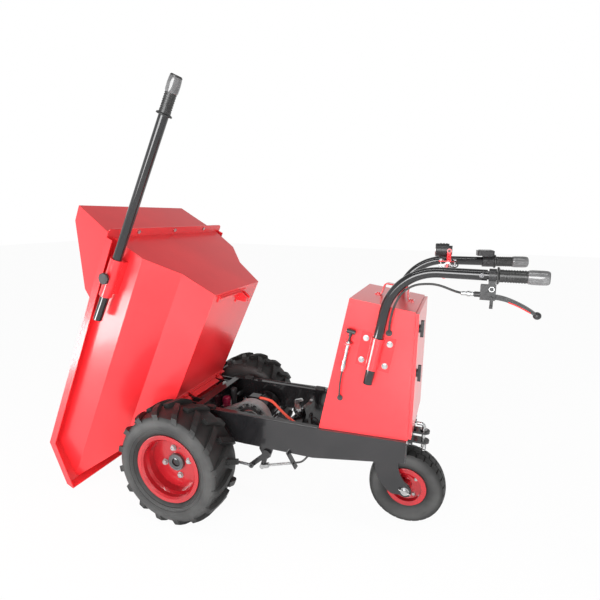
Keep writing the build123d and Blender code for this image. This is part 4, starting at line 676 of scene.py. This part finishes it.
spring_start = Vector((0.0200966, -0.165, 0.1840883))
spring_run = Vector((0.1023912, -0.165, 0.2095236)) - spring_start
spring_turns = 26
coil_radius = 0.004
coil_steps = 18
bpy.ops.object.select_all(action="DESELECT")
bpy.ops.mesh.primitive_circle_add(vertices=10, radius=0.0006)
spring = bpy.context.object
spring.name = "return_spring"
bpy.ops.object.mode_set(mode="EDIT")
bpy.ops.mesh.select_all(action="SELECT")
bpy.ops.transform.rotate(value=math.radians(90), orient_axis="X", center_override=(0.0, 0.0, 0.0))
bpy.ops.transform.translate(value=(coil_radius, 0.0, 0.0))
bpy.ops.object.mode_set(mode="OBJECT")
coil = spring.modifiers.new("coil", "SCREW")
coil.axis = "Z"
coil.angle = math.radians(360)
coil.screw_offset = spring_run.length / spring_turns
coil.iterations = spring_turns
coil.steps = coil_steps
coil.render_steps = coil_steps
bpy.ops.object.modifier_apply(modifier="coil")
bpy.ops.object.mode_set(mode="EDIT")
bpy.ops.mesh.select_all(action="SELECT")
bpy.ops.mesh.remove_doubles(threshold=same_point)
bpy.ops.mesh.fill_holes(sides=12)
close_up()
bpy.ops.object.shade_smooth_by_angle(angle=flat_crease)
settle(spring, along(spring_start, spring_run), zinc, "pull_wire", "zinc")
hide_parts("brake_spring")
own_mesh(spring)


# Tow hitch: a black bracket welded to the rear of the chassis, with a zinc drop pin.
# A wire clip through the pin's foot keeps it in the jaw.
dress(black_gloss, "hitch_bracket")
dress(zinc, "hitch_pin")
hitch_y = 0.0303
hitch_seam = (0.289, 0.345)
for side, hand in sides:
    upright_weld(hand + "_hitch_weld", seam_x, side * hitch_y, *hitch_seam)


# Studio: a pale floor that keeps the shadow, a white surround and soft lamps.
# Strips above and low at the left draw the light lines, and a low fill reaches the undersides.
bpy.ops.object.select_all(action="DESELECT")
bpy.ops.mesh.primitive_plane_add(size=24.0, location=(0.0, 0.0, cad_box[0].z))
floor = bpy.context.object
floor.name = "floor"
floor_white = bpy.data.materials.new("floor_white")
floor_white.use_nodes = True
tree = floor_white.node_tree
shader = tree.nodes["Principled BSDF"]
shader.inputs["Base Color"].default_value = (0.92, 0.92, 0.92, 1.0)
shader.inputs["Roughness"].default_value = 0.9
glow = tree.nodes.new("ShaderNodeEmission")
glow_share = 0.95
rays = tree.nodes.new("ShaderNodeLightPath")
seen = tree.nodes.new("ShaderNodeMath")
seen.operation = "MAXIMUM"
share = tree.nodes.new("ShaderNodeMath")
share.operation = "MULTIPLY"
share.inputs[1].default_value = glow_share
mix = tree.nodes.new("ShaderNodeMixShader")
tree.links.new(rays.outputs["Is Camera Ray"], seen.inputs[0])
tree.links.new(rays.outputs["Is Glossy Ray"], seen.inputs[1])
tree.links.new(seen.outputs["Value"], share.inputs[0])
tree.links.new(share.outputs["Value"], mix.inputs["Fac"])
tree.links.new(shader.outputs["BSDF"], mix.inputs[1])
tree.links.new(glow.outputs["Emission"], mix.inputs[2])
tree.links.new(mix.outputs["Shader"], tree.nodes["Material Output"].inputs["Surface"])
floor.data.materials.append(floor_white)

world = bpy.data.worlds.new("white_surround")
bpy.context.scene.world = world
world.use_nodes = True
tree = world.node_tree
sky = tree.nodes["Background"]
sky.inputs["Color"].default_value = (1.0, 1.0, 1.0, 1.0)
rays = tree.nodes.new("ShaderNodeLightPath")
place = tree.nodes.new("ShaderNodeTexCoord")
height = tree.nodes.new("ShaderNodeSeparateXYZ")
tree.links.new(place.outputs["Generated"], height.inputs["Vector"])
cast_light = span(tree, height.outputs["Z"], low=0.0, high=0.8, low_level=0.72, high_level=0.30)
mirrored_light = span(tree, height.outputs["Z"], low=0.1, high=0.6, low_level=1.0, high_level=0.35)
lit = tree.nodes.new("ShaderNodeMix")
tree.links.new(rays.outputs["Is Glossy Ray"], lit.inputs["Factor"])
tree.links.new(cast_light, lit.inputs["A"])
tree.links.new(mirrored_light, lit.inputs["B"])
shown = tree.nodes.new("ShaderNodeMix")
shown.inputs["B"].default_value = 1.0
tree.links.new(rays.outputs["Is Camera Ray"], shown.inputs["Factor"])
tree.links.new(lit.outputs[0], shown.inputs["A"])
tree.links.new(shown.outputs[0], sky.inputs["Strength"])


def softbox(name, place, aim, size, power, mirrored=True):
    lamp = bpy.data.lights.new(name, "AREA")
    lamp.shape = "RECTANGLE"
    lamp.size, lamp.size_y = size
    lamp.energy = power
    stand = bpy.data.objects.new(name, lamp)
    bpy.context.scene.collection.objects.link(stand)
    stand.location = place
    stand.rotation_euler = (Vector(aim) - Vector(place)).to_track_quat("-Z", "Y").to_euler()
    stand.visible_camera = False
    stand.visible_glossy = mirrored


softbox("front_softbox", place=(-0.2, -3.6, 1.4), aim=(0.0, 0.0, 0.5), size=(2.6, 1.8), power=120.0)
softbox("rear_softbox", place=(2.6, 1.6, 2.6), aim=(0.2, 0.0, 0.6), size=(1.6, 1.6), power=12.0)
softbox("top_strip", place=(0.1, -0.7, 2.7), aim=(0.1, -0.1, 0.6), size=(2.6, 0.12), power=12.0)
softbox("low_strip", place=(-1.45, -1.55, 0.16), aim=(-0.5, -0.3, 0.62), size=(1.3, 0.3), power=20.0)
softbox("low_fill", place=(0.75, -1.25, 0.12), aim=(-0.45, 0.0, 0.55), size=(1.2, 0.5), power=22.0,
        mirrored=False)


# Camera: the photograph's own standpoint, about a metre above the floor at the left of the barrow.
# It looks slightly down and a little towards the front, with a fairly wide lens.
eye = Vector((0.56482, -1.37609, 1.00408))
yaw = math.radians(20.1)
pitch = math.radians(11.08)
roll = math.radians(0.77)
ahead = Vector((-math.sin(yaw) * math.cos(pitch), math.cos(yaw) * math.cos(pitch), -math.sin(pitch)))
level_right = Vector((math.cos(yaw), math.sin(yaw), 0.0))
level_up = level_right.cross(ahead)
right = level_right * math.cos(roll) + level_up * math.sin(roll)
up = level_up * math.cos(roll) - level_right * math.sin(roll)
lens = bpy.data.cameras.new("camera")
lens.sensor_width = 36.0
lens.lens = 26.266
camera = bpy.data.objects.new("camera", lens)
bpy.context.scene.collection.objects.link(camera)
camera.matrix_world = Matrix.Translation(eye) @ Matrix((right, up, -ahead)).transposed().to_4x4()
bpy.context.scene.camera = camera
bpy.context.scene.view_settings.view_transform = "Standard"

bpy.context.view_layer.update()
